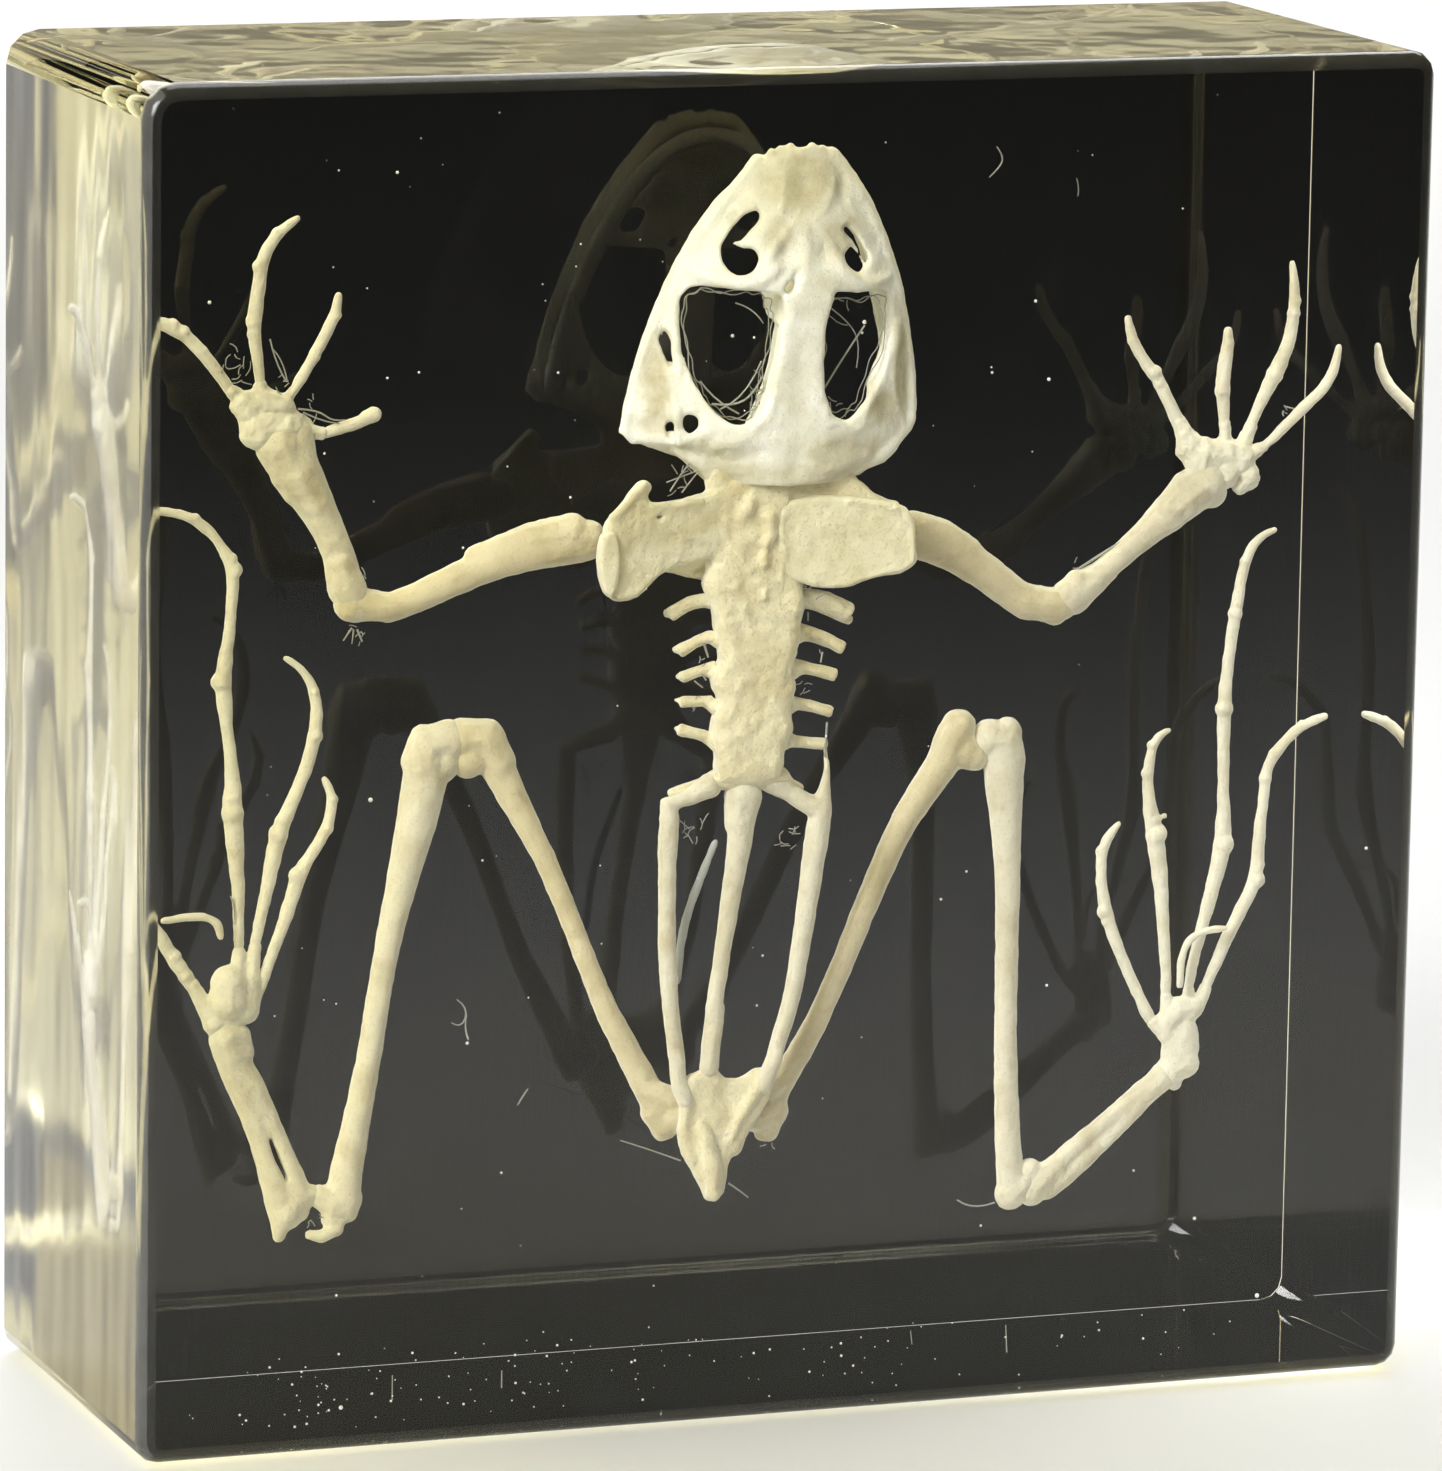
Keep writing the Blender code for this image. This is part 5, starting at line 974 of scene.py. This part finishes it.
def dress_plates(name, plates, finish, relax, uneven, slit=(), hollows=(), ridges=(), lean=0.0,
                 pivot=0.0, lumps=0.0, voxel=BONE_VOXEL):
    """A soft-edged piece of fused plates, leaning back over x, with its slit, hollows and ridges."""
    piece = join([outline_plate(*plate) for plate in plates])
    piece.name = name
    piece.data.name = name
    for vertex in piece.data.vertices:
        vertex.co.y += (vertex.co.x - pivot * MM) * lean
    fuse(piece, voxel, relax)
    if slit:
        cut_opening(piece, slit)
    press(piece, hollows)
    if ridges:
        grow_on(piece, ridges)
    if lumps:
        roughen(piece, UNEVEN_TISSUE, lumps)
    settle_bone(piece, finish, uneven, voxel)
    return piece


def dress_hips(finish):
    """The sitting bones, joined into one blade that ends in a point."""
    piece = dress_plates(
        "bone_ischium", [(HIP_PLATE, 13.1, 14.3, 0.4)], finish, 10, 0.1, hollows=HIP_HOLLOWS,
        ridges=HIP_RIDGES,
    )
    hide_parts("ischium")


def dress_shoulders(finish, tissue):
    """The shoulder blades, and the dried tissue that binds them to the neck and backbone."""
    blade = dress_plates(
        "bone_scapula_left", [(BLADE_LEFT, 11.9, 13.0)], finish, 16, 0.08, slit=BLADE_SLIT,
        ridges=BLADE_RIDGES, lean=0.16, pivot=-5.5,
    )
    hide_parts("scapula_left")
    rim = dress_plates(
        "bone_suprascapula_left", [(BLADE_RIM, 11.1, 12.5)], finish, 12, 0.03, voxel=RIM_VOXEL
    )
    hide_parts("suprascapula_left")
    plate = dress_plates(
        "bone_suprascapula_right", [(PLATE_RIGHT, 11.9, 12.9)], finish, 12, 0.08,
        ridges=PLATE_RIDGES, lean=-0.14, pivot=5.5,
    )
    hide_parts("suprascapula_right")
    sheath = dress_plates(
        "dried_tissue", TISSUE_PLATES, tissue, 14, 0.1, slit=BLADE_SLIT, ridges=TISSUE_RIDGES,
        lumps=0.3,
    )


# Threads and specks

def loose_ring(outline, inward, depth):
    """A thread lying just inside this opening, wavering a little."""
    loop = round_loop(outline, 3)
    middle = sum(loop, Vector((0.0, 0.0))) / len(loop)
    stations = []
    for point in loop:
        away = point - middle
        drawn = middle + away * (1.0 - (inward + random.uniform(-0.2, 0.25)) / away.length)
        stations.append((drawn.x, drawn.y, depth + random.uniform(-0.2, 0.2), 0.035))
    return stations + stations[:1]


def tangle(x, z, depth, across, count):
    """Short threads crossing one another around a place."""
    threads = []
    for _ in range(count):
        start_x = x + random.uniform(-across, across)
        start_z = z + random.uniform(-across, across)
        turn = random.uniform(0.0, math.tau)
        length = random.uniform(0.4, 1.0) * across
        bend = random.uniform(-0.9, 0.9)
        threads.append([
            (start_x + length * part * math.cos(turn + bend * part),
             start_z + length * part * math.sin(turn + bend * part),
             depth + random.uniform(-0.1, 0.1), 0.032)
            for part in (0.0, 0.35, 0.7, 1.0)
        ])
    return threads


def gather(name, parts, finish):
    """Many small parts as one piece."""
    piece = join(parts)
    piece.name = name
    bpy.ops.object.shade_smooth()
    coat(piece, finish)
    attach(piece, "root")
    return piece


def make_fibres():
    """Dried threads of tissue in the orbits, at the joints and between the ribs."""
    random.seed(11)
    threads = [[in_depth(station, depth) for station in chain] for depth, *chain in FIBRES]
    for outline in SKULL_OPENINGS[:2]:
        for inward, depth in ((0.1, 13.3), (0.3, 13.6)):
            threads.append(loose_ring(outline, inward, depth))
    for place in TANGLES:
        threads += tangle(*place)
    fibres = gather(
        "dried_fibres", [strand(thread, flowing=True) for thread in threads],
        small_parts_finish("fibre_finish", (0.5, 0.5, 0.45), (0.2, 0.2, 0.17), 0.8, 9.0, 0.2),
    )


def make_dust():
    """White specks caught in the casting, a few large, many fine, most of them low down."""
    random.seed(5)
    specks = [in_depth(speck, SPECK_DEPTH) for speck in SPECKS]
    parts = [knob(spot(x, z, depth), radius) for x, z, depth, radius in specks]
    for _ in range(FINE_SPECKS):
        low = random.random() < LOW_SHARE
        place = spot(
            random.triangular(-35.5, 35.5, -25.0),
            random.uniform(0.6, 4.5) if low else random.uniform(4.0, 73.0),
            random.uniform(1.0, 9.0),
        )
        parts.append(knob(place, random.choice((0.03, 0.04, 0.05, 0.07))))
    dust = gather(
        "cast_in_specks", parts,
        small_parts_finish("speck_finish", (0.95, 0.96, 0.95), (0.7, 0.7, 0.67), 2.0, 12.0, 0.3),
    )


# The casting and its card

def make_block():
    """The clear casting, in one piece."""
    block = rounded_box("clear_block", BLOCK_LOW, BLOCK_HIGH)
    bevel_edges(block, FRONT_BEVEL, lambda edge: max(point.y for point in edge) < FRONT_Y + 0.1 * MM)
    bevel_edges(block, SHARP_BEVEL, lambda edge: (
        min(point.y for point in edge) > BLOCK_HIGH.y - 0.1 * MM
        and max(point.z for point in edge) > BLOCK_LOW.z + 0.1 * MM
    ))
    coat(block, *[resin_finish(*row) for row in RESIN_FINISHES])
    for face in block.data.polygons:
        flat = max(abs(part) for part in face.normal) > 0.999
        face.use_smooth = not flat
        if not flat and face.center.y < FRONT_Y + 2.0 * MM:
            face.material_index = WORN_SIDE if face.normal.x < -0.3 else WORN_EDGE
        elif flat and face.normal.x < -0.9:
            face.material_index = HAZY
        elif flat and face.normal.z > 0.9:
            face.material_index = CAST
        else:
            face.material_index = POLISHED
    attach(block, "root")
    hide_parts("resin_front", "resin_back")


def make_card():
    """The black card behind the block, cut almost to its edges."""
    front = BLOCK_HIGH.y + 0.02 * MM
    low = Vector((BLOCK_LOW.x + 0.5 * MM, front, BLOCK_LOW.z + 0.01 * MM))
    high = Vector((BLOCK_HIGH.x - 0.03 * MM, front + CARD_MM * MM, BLOCK_HIGH.z - 0.4 * MM))
    card = rounded_box("black_card", low, high)
    bevel_edges(card, SHARP_BEVEL, lambda edge: abs(edge[0].y - edge[1].y) < 0.1 * MM)
    finish_modifier(card, "WEIGHTED_NORMAL")
    coat(card, card_finish())
    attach(card, "root")
    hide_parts("black_backing")


# The studio

def make_camera():
    """The photograph's view: a long lens, from the left and a little above."""
    eye_mm = Vector((-174.69, -472.60, 131.07))
    yaw, pitch, roll = 0.35539, 0.1863, 0.01633
    camera = put("camera", bpy.data.cameras.new("camera"))
    camera.matrix_world = (
        Matrix.Translation(eye_mm * MM) @ Matrix.Rotation(-yaw, 4, "Z")
        @ Matrix.Rotation(math.pi / 2 - pitch, 4, "X") @ Matrix.Rotation(roll, 4, "Z")
    )
    camera.data.lens = 222.32
    camera.data.sensor_width = 36.0
    camera.data.clip_start = 0.01
    bpy.context.scene.camera = camera


def softbox(name, place, aim, size, watts, spread=180.0, colour=(1.0, 1.0, 1.0)):
    lamp = bpy.data.lights.new(name, "AREA")
    lamp.shape = "RECTANGLE"
    lamp.size, lamp.size_y = size
    lamp.energy = watts
    lamp.spread = math.radians(spread)
    lamp.color = colour
    box = put(name, lamp)
    box.location = place
    box.rotation_euler = (Vector(aim) - Vector(place)).to_track_quat("-Z", "Y").to_euler()


def make_studio():
    """A pale floor with painted shade that darkens it towards the camera, four soft lights and a faint
    sky.
    """
    pick_only()
    bpy.ops.mesh.primitive_plane_add(size=4.0, location=(0.0, 0.0, -0.2 * MM))
    floor = bpy.context.object
    floor.name = "pale_floor"
    paper = Finish("pale_paper_painted_shade")
    # Painted shade: the floor's colour darkens towards the camera in place of the light falling off
    where = paper.add("ShaderNodeSeparateXYZ", {}, {0: paper.place}, "Y")
    painted_falloff_shade = paper.ramp(
        0.5 - where, (0.5, (0.88, 0.88, 0.87)), (0.6, (0.75, 0.75, 0.74)), (0.86, (0.3, 0.3, 0.3))
    )
    paper.fill(paper.shader, {"Base Color": painted_falloff_shade, "Roughness": 0.8})
    coat(floor, paper.material)
    softbox("top_softbox", (0.05, 0.1, 0.5), BLOCK_MIDDLE, (0.3, 0.3), 0.16, spread=70)
    softbox("back_panel", (0.1, 0.95, 0.95), (0.1, 0.6, 0.0), (2.2, 0.8), 22.0)
    softbox("rear_panel", (0.6, 1.6, 0.36), (0.0, 0.0, 0.2), (1.8, 0.6), 1.5, colour=(1.0, 0.9, 0.6))
    softbox("key_softbox", (-0.45, -0.35, 0.35), BLOCK_MIDDLE, (0.3, 0.3), 0.27, spread=40)
    world = bpy.data.worlds.new("studio")
    world.use_nodes = True
    background = world.node_tree.nodes["Background"]
    background.inputs["Color"].default_value = (1.0, 0.98, 0.94, 1.0)
    background.inputs["Strength"].default_value = 0.03
    bpy.context.scene.world = world
    bpy.context.scene.view_settings.view_transform = "Standard"


def main():
    make_camera()
    make_studio()
    make_block()
    make_card()
    finishes = {
        name: bone_finish(name + "_finish", *shades, **others) for name, shades, others in BONE_FINISHES
    }
    own_finishes = dict.fromkeys(YELLOWED, finishes["yellowed_bone"])
    own_finishes["tendon"] = finishes["tendon"]
    dress_shoulders(finishes["shoulder_bone"], finishes["spine_bone"])
    dress_hips(finishes["spine_bone"])
    make_fibres()
    make_dust()
    dress_skull(finishes["skull_bone"])
    for slot, finish in finishes.items():
        for node, packed in sorted(frame["nodes"].items()):
            if packed.data.materials[0].name == slot and node not in REMADE:
                dress_bone(node, slot, own_finishes.get(node, finish), **ROUNDING.get(slot, {}))


main()
bpy.data.objects.remove(BALL)
